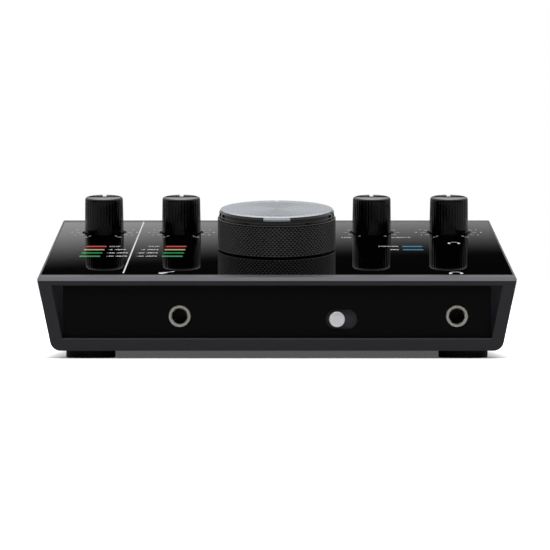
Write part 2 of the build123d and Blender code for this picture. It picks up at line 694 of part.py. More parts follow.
knob_body, knob_pointer = small_knob()
for name, x in small_knobs.items():
    seat = on_top(x, knob_row, SMALL_KNOB_SINK)
    save(f"knob_{name}", seat * knob_body)
    save(f"pointer_{name}", seat * knob_pointer)

# ---- large knob: knurled body, aluminium cap and a small pointer dot ----
large_radius = LARGE_KNOB_DIAMETER / 2
large_body_height = LARGE_KNOB_BODY_HEIGHT - LARGE_KNOB_GAP
large_body = Pos(0, 0, large_body_height / 2) * Cylinder(large_radius, large_body_height)
large_body = chamfer(large_body.edges().sort_by(Axis.Z)[-1], 0.3)
large_roof = large_body_height - LARGE_KNOB_ROOF
cavity = Cylinder(large_radius - LARGE_KNOB_WALL, large_roof) - Cylinder(LARGE_KNOB_HUB / 2, large_roof)
large_body -= Pos(0, 0, large_roof / 2) * cavity
spigot_bottom = large_body_height - CAP_SPIGOT_DEPTH
large_body -= Pos(0, 0, spigot_bottom + CAP_SPIGOT_DEPTH / 2) * Cylinder(
    CAP_SPIGOT_DIAMETER / 2 + SEAT_CLEARANCE, CAP_SPIGOT_DEPTH
)
shaft_top = SHAFT_ABOVE_PANEL - LARGE_KNOB_GAP
flat_from = shaft_top - SHAFT_FLAT_LENGTH
large_body -= Pos(0, 0, flat_from) * extrude(
    shaft_profile(KNOB_BORE_CLEARANCE), amount=SHAFT_FLAT_LENGTH + SHAFT_SEAT_GAP
)
large_body -= Cylinder(SHAFT_DIAMETER / 2 + KNOB_BORE_CLEARANCE, 2 * flat_from)
output_seat = on_top(0, LARGE_KNOB_FROM_FRONT, -LARGE_KNOB_GAP)
save("knob_output", output_seat * large_body)

cap_height = LARGE_KNOB_HEIGHT - LARGE_KNOB_BODY_HEIGHT
cap = Pos(0, 0, large_body_height + cap_height / 2) * Cone(CAP_BASE_DIAMETER / 2, CAP_TOP_DIAMETER / 2, cap_height)
cap = fillet(cap.edges().sort_by(Axis.Z)[-1], 0.4)
cap += Pos(0, 0, spigot_bottom + CAP_SPIGOT_DEPTH / 2) * Cylinder(CAP_SPIGOT_DIAMETER / 2, CAP_SPIGOT_DEPTH)
dot_y = CAP_TOP_DIAMETER / 2 - DOT_FROM_CAP_EDGE
dot = Pos(0, dot_y, large_body_height + cap_height - DOT_DEPTH / 2) * Cylinder(DOT_DIAMETER / 2, DOT_DEPTH)
save("knob_output_cap", output_seat * (cap - dot))
save("pointer_output", output_seat * dot)

# ---- light pipes flush with the sheet, and the LEDs under them ----
lens_depth = CONTROL_TOP - LED_HEIGHT - LIGHT_GAP
lenses = []
leds = []
for x, from_front in lights:
    lenses.append(
        on_top(x, from_front, lens_depth / 2)
        * Box(BAR_LENGTH - 2 * BAR_CLEARANCE, BAR_WIDTH - 2 * BAR_CLEARANCE, lens_depth)
    )
    leds.append(on_top(x, from_front, CONTROL_TOP - LED_HEIGHT / 2) * Box(LED_LENGTH, LED_WIDTH, LED_HEIGHT))
save("light_windows", *lenses)
save("leds", *leds)


# ---- quarter inch jacks: a plastic body on the main board and a metal sleeve through the panel ----
def jack(x, inside, face, sleeve_out):
    """Body and sleeve of a jack whose mouth is at the panel's outer face."""
    inwards = 1 if inside > face else -1
    mouth = face - inwards * sleeve_out
    back = mouth + inwards * SLEEVE_LENGTH
    body = block(x, inside, inside + inwards * JACK_LENGTH, BOARD_TOP, BOARD_TOP + JACK_HEIGHT, JACK_WIDTH)
    body -= rod(SLEEVE_DIAMETER + 2 * SLEEVE_CLEARANCE, mouth, back + inwards * SLEEVE_CLEARANCE, x, JACK_Z)
    sleeve = rod(SLEEVE_DIAMETER, mouth, back, x, JACK_Z) - rod(SLEEVE_BORE, mouth, back, x, JACK_Z)
    return body, sleeve


front_inside = FRONT_FACE + PANEL_THICKNESS + SEAT_CLEARANCE
for name, x in front_jacks.items():
    body, sleeve = jack(x, front_inside, FRONT_FACE, FRONT_SLEEVE_OUT)
    save(f"jack_{name}_body", body)
    save(f"jack_{name}_sleeve", sleeve)

rear_inside = REAR_FACE - PANEL_THICKNESS - SEAT_CLEARANCE
nuts = []
for name, x in rear_jacks.items():
    body, sleeve = jack(x, rear_inside, REAR_FACE, REAR_SLEEVE_OUT)
    save(f"jack_{name}_body", body)
    save(f"jack_{name}_sleeve", sleeve)
    hexagon = Rot(90, 0, 0) * extrude(RegularPolygon(NUT_DIAMETER / 2, 6), amount=NUT_THICKNESS / 2, both=True)
    nut = Pos(x, REAR_FACE + NUT_THICKNESS / 2, JACK_Z) * hexagon
    nuts.append(nut - rod(SLEEVE_DIAMETER + 2 * SLEEVE_CLEARANCE, REAR_FACE, REAR_FACE + NUT_THICKNESS, x, JACK_Z))
save("rear_jack_nuts", *nuts)

# ---- combination jack: housing with a round nose, core with three pin sockets and the quarter inch bore ----
flange_back = panel_back - COMBO_FLANGE_THICKNESS
combo_back = panel_back - COMBO_LENGTH
combo = block(
    combo_x,
    flange_back,
    panel_back,
    COMBO_Z - COMBO_FLANGE_HEIGHT / 2,
    COMBO_Z + COMBO_FLANGE_HEIGHT / 2,
    COMBO_WIDTH,
)
combo += block(combo_x, combo_back, flange_back, BOARD_TOP, COMBO_Z + COMBO_WIDTH / 2, COMBO_WIDTH)
combo += rod(COMBO_NOSE_DIAMETER, panel_back, REAR_FACE, combo_x, COMBO_Z)
combo -= rod(COMBO_CAVITY_DIAMETER, REAR_FACE, REAR_FACE - COMBO_CAVITY_DEPTH, combo_x, COMBO_Z)
core_front = REAR_FACE - COMBO_CORE_SETBACK
core_back = core_front - COMBO_CORE_LENGTH
combo -= rod(COMBO_CORE_DIAMETER + 2 * SEAT_CLEARANCE, REAR_FACE, core_back - SEAT_CLEARANCE, combo_x, COMBO_Z)
for x, z in combo_screws:
    combo -= rod(SCREW_HOLE_DIAMETER, panel_back - SCREW_LENGTH, panel_back, x, z)
save("combo_housing", combo)

core = rod(COMBO_CORE_DIAMETER, core_front, core_back, combo_x, COMBO_Z)
core -= rod(SLEEVE_BORE, core_front, core_back, combo_x, COMBO_Z)
for angle in (0, 180, 270):
    pin_x = combo_x + COMBO_PIN_CIRCLE / 2 * cos(radians(angle))
    pin_z = COMBO_Z + COMBO_PIN_CIRCLE / 2 * sin(radians(angle))
    core -= rod(COMBO_PIN_DIAMETER, core_front, core_front - COMBO_PIN_DEPTH, pin_x, pin_z)
save("combo_core", core)

mic_screws = []
for x, z in combo_screws:
    mic_screws.append(Pos(x, REAR_FACE, z) * Rot(-90, 0, 0) * pan_screw(SCREW_LENGTH))
save("combo_screws", *mic_screws)

# ---- USB-C port: a thin metal shell round a tongue, on the main board ----
usb_rear = REAR_FACE
usb_front = usb_rear - USB_LENGTH


def usb_slot(width, height, from_y, to_y):
    """Level bar with round sides along Y, centred on the port."""
    length = abs(to_y - from_y)
    bar = extrude(SlotOverall(width, height), amount=length / 2, both=True)
    return Pos(usb_x, (from_y + to_y) / 2, usb_z) * Rot(90, 0, 0) * bar


usb_shell = usb_slot(USB_WIDTH, USB_HEIGHT, usb_front, usb_rear)
usb_shell -= usb_slot(USB_WIDTH - 2 * USB_SHELL, USB_HEIGHT - 2 * USB_SHELL, usb_front + 1.0, usb_rear)
usb_tongue = block(usb_x, usb_front + 1.0, usb_rear - 0.8, usb_z - 0.35, usb_z + 0.35, 6.7)
save("usb_port", usb_shell, usb_tongue)

# ---- slide switch: body, slider with its shield plate, and a round metal button ----
shield_front = FRONT_FACE + PANEL_THICKNESS + SHIELD_GAP
shield_back = shield_front + SHIELD_THICKNESS
switch_front = shield_back + SHIELD_GAP
switch_back = switch_front + SWITCH_BODY_DEPTH
switch_top = 2 * SWITCH_Z - BOARD_TOP
switch_body = block(SWITCH_X, switch_front, switch_back, BOARD_TOP, switch_top, SWITCH_BODY_LENGTH)
channel_depth = SLIDER_DEPTH + SLIDER_CLEARANCE
switch_body -= block(
    SWITCH_X,
    switch_front,
    switch_front + channel_depth,
    SWITCH_Z - SLIDER_HEIGHT / 2 - SLIDER_CLEARANCE,
    SWITCH_Z + SLIDER_HEIGHT / 2 + SLIDER_CLEARANCE,
    SLIDER_LENGTH + SWITCH_TRAVEL + 2 * SLIDER_END_CLEARANCE,
)
save("switch_body", switch_body)

button_x = SWITCH_X - SWITCH_TRAVEL / 2
slider = block(
    button_x,
    shield_front,
    shield_back,
    SWITCH_Z - SHIELD_HEIGHT / 2,
    SWITCH_Z + SHIELD_HEIGHT / 2,
    SHIELD_LENGTH,
)
slider += block(
    button_x,
    shield_back,
    switch_front + SLIDER_DEPTH,
    SWITCH_Z - SLIDER_HEIGHT / 2,
    SWITCH_Z + SLIDER_HEIGHT / 2,
    SLIDER_LENGTH,
)
save("switch_slider", slider)

button = rod(BUTTON_DIAMETER, FRONT_FACE - BUTTON_OUT, shield_front, button_x, SWITCH_Z)
button = chamfer(button.edges().sort_by(Axis.Y)[0], 0.3)
save("switch_button", button)

# ---- components on the main board, and the ribbon to the control board ----
can_x, can_y = 0.0, FRONT + SHIELD_CAN_FROM_FRONT
can_length, can_width, can_height = SHIELD_CAN
can = block(can_x, can_y - can_width / 2, can_y + can_width / 2, BOARD_TOP, BOARD_TOP + can_height, can_length)
can -= block(
    can_x,
    can_y - can_width / 2 + SHIELD_CAN_WALL,
    can_y + can_width / 2 - SHIELD_CAN_WALL,
    BOARD_TOP,
    BOARD_TOP + can_height - SHIELD_CAN_WALL,
    can_length - 2 * SHIELD_CAN_WALL,
)
save("shield_can", can)

components = []
for place in range(3):
    components.append(
        upright(
            CAPACITOR_DIAMETER,
            can_x + can_length / 2 + (place + 0.8) * 1.25 * CAPACITOR_DIAMETER,
            can_y,
            BOARD_TOP,
            BOARD_TOP + CAPACITOR_HEIGHT,
        )
    )
for place in range(2):
    chip_x = can_x - can_length / 2 - CHIP_SIZE * (1 + 1.4 * place)
    components.append(
        block(chip_x, can_y - CHIP_SIZE / 2, can_y + CHIP_SIZE / 2, BOARD_TOP, BOARD_TOP + CHIP_HEIGHT, CHIP_SIZE)
    )
save("board_components", *components)

ribbon_y = can_y + can_width / 2 + 1.5 * HEADER_WIDTH
lower_header = block(
    0, ribbon_y - HEADER_WIDTH / 2, ribbon_y + HEADER_WIDTH / 2, BOARD_TOP, BOARD_TOP + HEADER_HEIGHT, HEADER_LENGTH
)
upper_header = on_top(0, ribbon_y - FRONT, CONTROL_BOTTOM + HEADER_HEIGHT / 2) * Box(
    HEADER_LENGTH, HEADER_WIDTH, HEADER_HEIGHT
)
below_header = wedge(BODY_FRONT, BODY_REAR, below_top=CONTROL_BOTTOM + HEADER_HEIGHT, side_inset=WALL)
ribbon = block(
    0,
    ribbon_y - RIBBON_THICKNESS / 2,
    ribbon_y + RIBBON_THICKNESS / 2,
    BOARD_TOP + HEADER_HEIGHT,
    top_z(ribbon_y),
    RIBBON_WIDTH,
)
save("board_link", lower_header, upper_header, ribbon & below_header)
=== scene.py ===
import json
import math

import bmesh
import bpy
from mathutils import Matrix, Vector


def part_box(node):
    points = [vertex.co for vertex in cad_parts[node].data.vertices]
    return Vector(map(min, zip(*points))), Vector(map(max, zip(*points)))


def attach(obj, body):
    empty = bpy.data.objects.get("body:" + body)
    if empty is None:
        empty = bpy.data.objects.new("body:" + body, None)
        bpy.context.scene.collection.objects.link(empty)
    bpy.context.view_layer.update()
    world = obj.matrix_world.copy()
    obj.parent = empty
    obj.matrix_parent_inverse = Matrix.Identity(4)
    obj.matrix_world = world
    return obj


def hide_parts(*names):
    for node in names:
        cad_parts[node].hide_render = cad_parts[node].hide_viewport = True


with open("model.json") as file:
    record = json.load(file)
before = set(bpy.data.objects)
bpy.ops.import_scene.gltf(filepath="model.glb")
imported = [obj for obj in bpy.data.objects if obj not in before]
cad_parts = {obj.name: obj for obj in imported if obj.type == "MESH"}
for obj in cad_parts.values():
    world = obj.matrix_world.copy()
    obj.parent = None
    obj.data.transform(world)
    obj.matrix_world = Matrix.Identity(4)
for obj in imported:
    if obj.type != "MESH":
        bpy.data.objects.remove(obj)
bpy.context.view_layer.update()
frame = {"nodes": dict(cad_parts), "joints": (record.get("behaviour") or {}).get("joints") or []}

# ---- studio: white floor and surroundings, one large soft box above and a weak one in front ----
# The floor is a matt white table. The wall behind is white up to a low edge, so the glossy top shows
# a bright band that fades towards the front, as it does in front of a studio sweep. Past the object's own
# shade the table is seen as pure white, and reflections see it a little darker.
FLOOR_HALF = 6.0
FLOOR_COLOUR = "#f4f4f4"
FLOOR_LIFT = 0.09
FLOOR_SHADE_HALF = (0.085, 0.070, 0.0)
FLOOR_LIFT_NEAR = 0.008
FLOOR_LIFT_FAR = 0.022
FLOOR_MIRRORED = "#bdbdbd"
WALL_FULL_BELOW = 0.3300
WALL_DARK_ABOVE = 0.3484
WALL_TILT = 0.034
WALL_LEVEL = 0.74
WALL_BEHIND_FROM = 0.1
WALL_BEHIND_TO = 0.5
ROOM_LEVEL = 0.004
SOFT_BOX_SIZE = (5.0, 4.4)
SOFT_BOX_HEIGHT = 1.1
SOFT_BOX_POWER = 92.0
FRONT_BOX_SIZE = (1.6, 0.8)
FRONT_BOX_POWER = 0.5
FRONT_BOX_PLACE = (0, -1.7, 1.1)
FRONT_BOX_AIM = (0, 0, 0.03)


def linear(hex_colour):
    """Linear RGBA of a colour written as it looks, #rrggbb."""
    out = []
    for place in (1, 3, 5):
        part = int(hex_colour[place : place + 2], 16) / 255
        out.append(part / 12.92 if part <= 0.04045 else ((part + 0.055) / 1.055) ** 2.4)
    return (*out, 1.0)


def add_node(tree, kind, settings=None, inputs=None):
    """Add a shader node, set its options, and set or link its inputs."""
    node = tree.nodes.new(kind)
    for name, value in (settings or {}).items():
        setattr(node, name, value)
    for name, value in (inputs or {}).items():
        if isinstance(value, bpy.types.NodeSocket):
            tree.links.new(value, node.inputs[name])
        else:
            node.inputs[name].default_value = value
    return node


def clear_tree(owner):
    """Empty node tree of a material or world."""
    owner.use_nodes = True
    owner.node_tree.nodes.clear()
    return owner.node_tree


world = bpy.data.worlds.new("studio_surroundings")
bpy.context.scene.world = world
tree = clear_tree(world)
path = add_node(tree, "ShaderNodeLightPath")
where = add_node(tree, "ShaderNodeTexCoord")
parts = add_node(tree, "ShaderNodeSeparateXYZ", inputs={0: where.outputs["Generated"]})
tilted = add_node(
    tree,
    "ShaderNodeMath",
    {"operation": "MULTIPLY_ADD"},
    {0: parts.outputs["X"], 1: WALL_TILT, 2: parts.outputs["Z"]},
)
height_fade = add_node(
    tree,
    "ShaderNodeMapRange",
    {"interpolation_type": "SMOOTHSTEP"},
    {
        "Value": tilted.outputs[0],
        "From Min": WALL_FULL_BELOW,
        "From Max": WALL_DARK_ABOVE,
        "To Min": 1.0,
        "To Max": 0.0,
    },
)
behind = add_node(
    tree,
    "ShaderNodeMapRange",
    {"interpolation_type": "SMOOTHSTEP"},
    {
        "Value": parts.outputs["Y"],
        "From Min": WALL_BEHIND_FROM,
        "From Max": WALL_BEHIND_TO,
        "To Min": 0.0,
        "To Max": 1.0,
    },
)
band = add_node(
    tree,
    "ShaderNodeMath",
    {"operation": "MULTIPLY"},
    {0: height_fade.outputs["Result"], 1: behind.outputs["Result"]},
)
room = add_node(
    tree,
    "ShaderNodeMapRange",
    inputs={"Value": band.outputs[0], "To Min": ROOM_LEVEL, "To Max": WALL_LEVEL},
)
seen = add_node(
    tree,
    "ShaderNodeMath",
    {"operation": "MAXIMUM"},
    {0: room.outputs["Result"], 1: path.outputs["Is Camera Ray"]},
)
light = add_node(
    tree,
    "ShaderNodeBackground",
    inputs={"Color": linear("#ffffff"), "Strength": seen.outputs[0]},
)
add_node(tree, "ShaderNodeOutputWorld", inputs={"Surface": light.outputs[0]})

floor_bm = bmesh.new()
bmesh.ops.create_grid(floor_bm, x_segments=1, y_segments=1, size=FLOOR_HALF)
floor_mesh = bpy.data.meshes.new("table")
floor_bm.to_mesh(floor_mesh)
floor_bm.free()
floor = bpy.data.objects.new("table", floor_mesh)
bpy.context.collection.objects.link(floor)
table_paint = bpy.data.materials.new("matt_white_table")
tree = clear_tree(table_paint)
path = add_node(tree, "ShaderNodeLightPath")
table_tone = add_node(
    tree,
    "ShaderNodeMix",
    {"data_type": "RGBA"},
    {"Factor": path.outputs["Is Glossy Ray"], 6: linear(FLOOR_COLOUR), 7: linear(FLOOR_MIRRORED)},
)
matt = add_node(tree, "ShaderNodeBsdfDiffuse", inputs={"Color": table_tone.outputs[2]})
where = add_node(tree, "ShaderNodeTexCoord")
either_side = add_node(
    tree,
    "ShaderNodeVectorMath",
    {"operation": "ABSOLUTE"},
    {0: where.outputs["Object"]},
)
past = add_node(
    tree,
    "ShaderNodeVectorMath",
    {"operation": "SUBTRACT"},
    {0: either_side.outputs[0], 1: FLOOR_SHADE_HALF},
)
outside = add_node(
    tree,
    "ShaderNodeVectorMath",
    {"operation": "MAXIMUM"},
    {0: past.outputs[0], 1: (0, 0, 0)},
)
reach = add_node(tree, "ShaderNodeVectorMath", {"operation": "LENGTH"}, {0: outside.outputs[0]})
rise = add_node(
    tree,
    "ShaderNodeMapRange",
    {"interpolation_type": "SMOOTHSTEP"},
    {
        "Value": reach.outputs["Value"],
        "From Min": FLOOR_LIFT_NEAR,
        "From Max": FLOOR_LIFT_FAR,
        "To Min": FLOOR_LIFT,
        "To Max": 1.0,
    },
)
lift = add_node(
    tree,
    "ShaderNodeMath",
    {"operation": "MULTIPLY"},
    {0: path.outputs["Is Camera Ray"], 1: rise.outputs["Result"]},
)
glow = add_node(tree, "ShaderNodeEmission", inputs={"Strength": lift.outputs[0]})
both = add_node(tree, "ShaderNodeAddShader", inputs={0: matt.outputs[0], 1: glow.outputs[0]})
add_node(tree, "ShaderNodeOutputMaterial", inputs={"Surface": both.outputs[0]})
floor_mesh.materials.append(table_paint)


def soft_box(name, size, power, place, target):
    """Rectangular area lamp turned towards a point."""
    lamp = bpy.data.lights.new(name, "AREA")
    lamp.shape = "RECTANGLE"
    lamp.size, lamp.size_y = size
    lamp.energy = power
    holder = bpy.data.objects.new(name, lamp)
    holder.location = place
    holder.rotation_euler = (Vector(target) - Vector(place)).to_track_quat("-Z", "Y").to_euler()
    bpy.context.collection.objects.link(holder)
    return holder


soft_box("soft_box_above", SOFT_BOX_SIZE, SOFT_BOX_POWER, (0, 0.0, SOFT_BOX_HEIGHT), (0, 0, 0))
soft_box("soft_box_front", FRONT_BOX_SIZE, FRONT_BOX_POWER, FRONT_BOX_PLACE, FRONT_BOX_AIM)

# ---- camera: level, just above the front edge, far back with a long lens ----
# It looks straight along the object from the front, a little left of its middle. The lens is shifted,
# not the camera turned, so upright edges stay upright.
MM = 0.001
CAMERA_HEIGHT = 35.2 * MM
CAMERA_AWAY = 1183.0 * MM
CAMERA_LEFT = 2.45 * MM
CAMERA_LENS = 183.4
CAMERA_SHIFT = 0.0069

camera_data = bpy.data.cameras.new("camera")
camera_data.lens = CAMERA_LENS
camera_data.shift_x = CAMERA_SHIFT
camera_data.clip_start = 0.01
camera = bpy.data.objects.new("camera", camera_data)
front_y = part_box("front_frame")[0][1]
camera.location = (-CAMERA_LEFT, front_y - CAMERA_AWAY, CAMERA_HEIGHT)
camera.rotation_euler = (math.radians(90), 0, 0)
bpy.context.collection.objects.link(camera)
bpy.context.scene.camera = camera
bpy.context.scene.view_settings.view_transform = "Standard"

# ---- painted case: tub, cover and the two end frames, in one fine textured black paint ----
# Pressed steel parts, screwed together from below and sprayed with a satin paint. The paint's slight grain
# breaks up highlights, so the case looks dark and soft beside the polished sheet.
CASE_COLOUR = "#1e1d23"
CASE_GRAIN_MM = 0.35


def surface(name, colour, roughness, metallic=0.0, specular=0.5):
    """Material with a main shader; returns it with its tree, shader and the piece's own coordinates."""
    material = bpy.data.materials.new(name)
    tree = clear_tree(material)
    shader = add_node(
        tree,
        "ShaderNodeBsdfPrincipled",
        inputs={
            "Base Color": linear(colour),
            "Roughness": roughness,
            "Metallic": metallic,
            "Specular IOR Level": specular,
        },
    )
    add_node(tree, "ShaderNodeOutputMaterial", inputs={"Surface": shader.outputs[0]})
    coords = add_node(tree, "ShaderNodeTexCoord").outputs["Object"]
    return material, tree, shader, coords


def grain(tree, shader, coords, size_mm, depth_mm, detail=3.0):
    """Fine raised grain of a given size on a shader's normal."""
    noise = add_node(
        tree,
        "ShaderNodeTexNoise",
        inputs={"Vector": coords, "Scale": 1 / (size_mm * MM), "Detail": detail, "Roughness": 0.55},
    )
    bump = add_node(
        tree,
        "ShaderNodeBump",
        inputs={"Strength": 1.0, "Distance": depth_mm * MM, "Height": noise.outputs["Fac"]},
    )
    tree.links.new(bump.outputs["Normal"], shader.inputs["Normal"])
    return bump


def vary_roughness(tree, shader, coords, size_mm, low, high):
    """Slow change of gloss over a surface, as handling and moulding leave it."""
    noise = add_node(
        tree,
        "ShaderNodeTexNoise",
        inputs={"Vector": coords, "Scale": 1 / (size_mm * MM), "Detail": 4.0},
    )
    spread = add_node(
        tree,
        "ShaderNodeMapRange",
        inputs={
            "Value": noise.outputs["Fac"],
            "From Min": 0.3,
            "From Max": 0.7,
            "To Min": low,
            "To Max": high,
        },
    )
    tree.links.new(spread.outputs["Result"], shader.inputs["Roughness"])


def vary_colour(tree, shader, coords, size_mm, colour_a, colour_b):
    """Faint cloudy change between two near colours."""
    noise = add_node(
        tree,
        "ShaderNodeTexNoise",
        inputs={"Vector": coords, "Scale": 1 / (size_mm * MM), "Detail": 5.0},
    )
    mix = add_node(
        tree,
        "ShaderNodeMix",
        {"data_type": "RGBA"},
        {"Factor": noise.outputs["Fac"], 6: linear(colour_a), 7: linear(colour_b)},
    )
    tree.links.new(mix.outputs[2], shader.inputs["Base Color"])


def dress(node, material):
    """Give a carried CAD node its material."""
    piece = frame["nodes"][node]
    if not piece.material_slots:
        piece.data.materials.append(material)
    for slot in piece.material_slots:
        slot.material = material


case_paint, tree, shader, coords = surface("satin_black_case_paint", CASE_COLOUR, 0.42)
vary_colour(tree, shader, coords, 6.0, "#1c1b21", "#1f1e24")
vary_roughness(tree, shader, coords, 4.0, 0.38, 0.46)
grain(tree, shader, coords, CASE_GRAIN_MM, 0.012)
for node in ("case_tub", "case_cover", "rear_frame"):
    dress(node, case_paint)

# The front frame has the same paint, with a painted highlight: its narrow upper bevel, where it faces up and
# forward, is painted lighter in place of the light it catches from above.
BEVEL_FACING = (0.0, -0.55, 0.835)
BEVEL_MATCH_FROM = 0.95
BEVEL_MATCH_TO = 0.97
UPPER_FROM = 0.020
UPPER_TO = 0.022
# Lighter colour painted on the upper bevel as a highlight.
PAINTED_HIGHLIGHT_COLOUR = "#85858c"
frame_paint, tree, shader, coords = surface("satin_black_frame_paint", CASE_COLOUR, 0.38)
grain(tree, shader, coords, CASE_GRAIN_MM, 0.008)
facing = add_node(tree, "ShaderNodeTexCoord").outputs["Normal"]
towards = add_node(
    tree,
    "ShaderNodeVectorMath",
    {"operation": "DOT_PRODUCT"},
    {0: facing, 1: BEVEL_FACING},
)
on_bevel = add_node(
    tree,
    "ShaderNodeMapRange",
    inputs={
        "Value": towards.outputs["Value"],
        "From Min": BEVEL_MATCH_FROM,
        "From Max": BEVEL_MATCH_TO,
        "To Min": 0.0,
        "To Max": 1.0,
    },
)
height = add_node(tree, "ShaderNodeSeparateXYZ", inputs={0: coords})
upper_half = add_node(
    tree,
    "ShaderNodeMapRange",
    inputs={
        "Value": height.outputs["Z"],
        "From Min": UPPER_FROM,
        "From Max": UPPER_TO,
        "To Min": 0.0,
        "To Max": 1.0,
    },
)
upper_bevel = add_node(
    tree,
    "ShaderNodeMath",
    {"operation": "MULTIPLY"},
    {0: on_bevel.outputs["Result"], 1: upper_half.outputs["Result"]},
)
# Painted highlight: the paint turns lighter on the upper bevel, standing in for the light falling on it.
painted_highlight = add_node(
    tree,
    "ShaderNodeMix",
    {"data_type": "RGBA"},
    {"Factor": upper_bevel.outputs[0], 6: linear(CASE_COLOUR), 7: linear(PAINTED_HIGHLIGHT_COLOUR)},
)
tree.links.new(painted_highlight.outputs[2], shader.inputs["Base Color"])
dress("front_frame", frame_paint)

# ---- top sheet: a cut sheet of black acrylic with a polished face, bonded into the cover ----
# Cast acrylic, 1 mm thick. Its polish mirrors the knobs and the lit wall sharply, and fades to black where
# the room is dark. The very slow waves are those of a bonded sheet.
sheet_acrylic, tree, shader, coords = surface("polished_black_acrylic_sheet", "#020203", 0.014)
vary_roughness(tree, shader, coords, 25.0, 0.012, 0.016)
grain(tree, shader, coords, 9.0, 0.001, detail=1.0)
dress("top_sheet", sheet_acrylic)

# ---- front and rear panels: flat plates with a smooth satin black finish ----
# Moulded plates painted smooth black, held behind the frames. They stand back from the frames' faces, so
# they look flat and darker than the case.
panel_paint, tree, shader, coords = surface("smooth_black_panel_paint", "#030303", 0.38, specular=0.12)
vary_colour(tree, shader, coords, 10.0, "#020202", "#040404")
grain(tree, shader, coords, 0.25, 0.004)
for node in ("front_panel", "rear_panel"):
    dress(node, panel_paint)

# ---- feet: moulded soft rubber discs bonded under the floor of the tub ----
# Nitrile rubber, matt and slightly rough from the mould, so they show as plain dark discs in the shadow.
foot_rubber, tree, shader, coords = surface("matt_black_foot_rubber", "#0b0b0c", 0.75, specular=0.25)
vary_colour(tree, shader, coords, 3.0, "#0a0a0b", "#0f0f10")
grain(tree, shader, coords, 0.5, 0.03)
for end in ("front", "rear"):
    for side in ("left", "right"):
        dress(f"foot_{end}_{side}", foot_rubber)

# ---- small knobs: moulded ABS caps with fine upright flutes, a soft rim and a nearly flat top ----
# Each pushes onto its potentiometer's shaft. The flutes run from the rim down and fade out before the
# skirt; smooth ABS gives them thin upright highlights.
SMALL_HEIGHT = 17.0
SMALL_FOOT_RADIUS = 9.0
SMALL_TOP_RADIUS = 8.7
SMALL_SINK = 0.5
FLUTES = 40
FLUTE_DEPTH = 0.16
FLUTE_STEPS = 8
MOVING = {joint["child"]: joint for joint in frame["joints"]}


def turned(profile, steps, closed=False):
    """Solid or shell turned from (radius, height) pairs in millimetres, about the vertical."""
    bm = bmesh.new()
    verts = [bm.verts.new((radius * MM, 0, height * MM)) for radius, height in profile]
    edges = [bm.edges.new(pair) for pair in zip(verts, verts[1:])]
    if closed:
        edges.append(bm.edges.new((verts[-1], verts[0])))
    bmesh.ops.spin(
        bm,
        geom=verts + edges,
        cent=(0, 0, 0),
        axis=(0, 0, 1),
        angle=math.tau,
        steps=steps,
        use_merge=True,
    )
    bmesh.ops.remove_doubles(bm, verts=bm.verts, dist=0.002 * MM)
    bmesh.ops.recalc_face_normals(bm, faces=bm.faces)
    return bm


def seat(body, lift=0.0):
    """Place on a turning control's axis, Z out of the sloped top, Y up the slope."""
    joint = MOVING[body]
    out = Vector(joint["axis"]).normalized()
    across = Vector((1, 0, 0))
    up = out.cross(across)
    turn = Matrix((across, up, out)).transposed().to_4x4()
    return Matrix.Translation(Vector(joint["pos_m"]) + out * lift * MM) @ turn


def piece(name, bm, place, material, body, slot, stands_for=(), sharp=30.0):
    """Finish a bmesh as an object with its place in its mesh."""
    bmesh.ops.transform(bm, matrix=place, verts=bm.verts)
    mesh = bpy.data.meshes.new(name)
    bm.to_mesh(mesh)
    bm.free()
    mesh.shade_smooth()
    mesh.set_sharp_from_angle(angle=math.radians(sharp))
    mesh.materials.append(material)
    made = bpy.data.objects.new(name, mesh)
    bpy.context.collection.objects.link(made)
    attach(made, body)
    if stands_for:
        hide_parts(*stands_for)
    return made


knob_plastic, tree, shader, coords = surface("satin_black_abs_knob", "#020203", 0.10, specular=0.2)
vary_colour(tree, shader, coords, 2.0, "#010102", "#030304")
grain(tree, shader, coords, 0.2, 0.001)


def small_knob():
    """Fluted knob standing on its own origin."""
    top = SMALL_HEIGHT
    side = []
    for step in range(13):
        height = (top - 1.1) * step / 12
        radius = SMALL_FOOT_RADIUS + (SMALL_TOP_RADIUS - SMALL_FOOT_RADIUS) * height / top
        side.append((radius, height))
    rim = [
        (SMALL_TOP_RADIUS - 0.06, top - 0.62),
        (SMALL_TOP_RADIUS - 0.26, top - 0.26),
        (SMALL_TOP_RADIUS - 0.60, top - 0.06),
        (SMALL_TOP_RADIUS - 0.95, top),
        (SMALL_TOP_RADIUS - 1.35, top - 0.02),
        (SMALL_TOP_RADIUS - 1.80, top - 0.08),
        (0.0, top - 0.10),
    ]
    underside = [(3.2, 2.0), (3.2, 0.0), (5.0, 0.0), (5.0, 12.0), (7.0, 12.0), (7.4, 0.0)]
    bm = turned(underside + side + rim, FLUTES * FLUTE_STEPS)
    for vert in bm.verts:
        height = vert.co.z / MM
        radius = math.hypot(vert.co.x, vert.co.y) / MM
        if radius < SMALL_TOP_RADIUS - 0.3 or height > top - 0.2:
            continue
        angle = math.atan2(vert.co.y, vert.co.x)
        strength = min(1.0, max(0.0, (height - 2.0) / 7.0))
        cut = FLUTE_DEPTH * strength * (0.5 - 0.5 * math.cos(FLUTES * angle))
        shrink = (radius - cut) / radius
        vert.co.x *= shrink
        vert.co.y *= shrink
    return bm


for name in ("input_1", "input_2", "mix", "headphones"):
    body = f"{name}_control"
    piece(
        f"fluted_knob_{name}",
        small_knob(),
        seat(body, -SMALL_SINK),
        knob_plastic,
        body,
        "knob_black",
        [f"knob_{name}"],
        sharp=50,
    )

# ---- knob pointers: white ABS inlays that run from the rim towards the middle ----
# A second moulding in white ABS, let into the knob almost flush, so it bends over the rim with it.
POINTER_WIDTH = 1.7
POINTER_PROUD = 0.06

pointer_white, tree, shader, coords = surface("white_abs_pointer", "#e9e9e9", 0.45)
vary_colour(tree, shader, coords, 1.0, "#e6e6e6", "#eeeeee")
grain(tree, shader, coords, 0.2, 0.003)


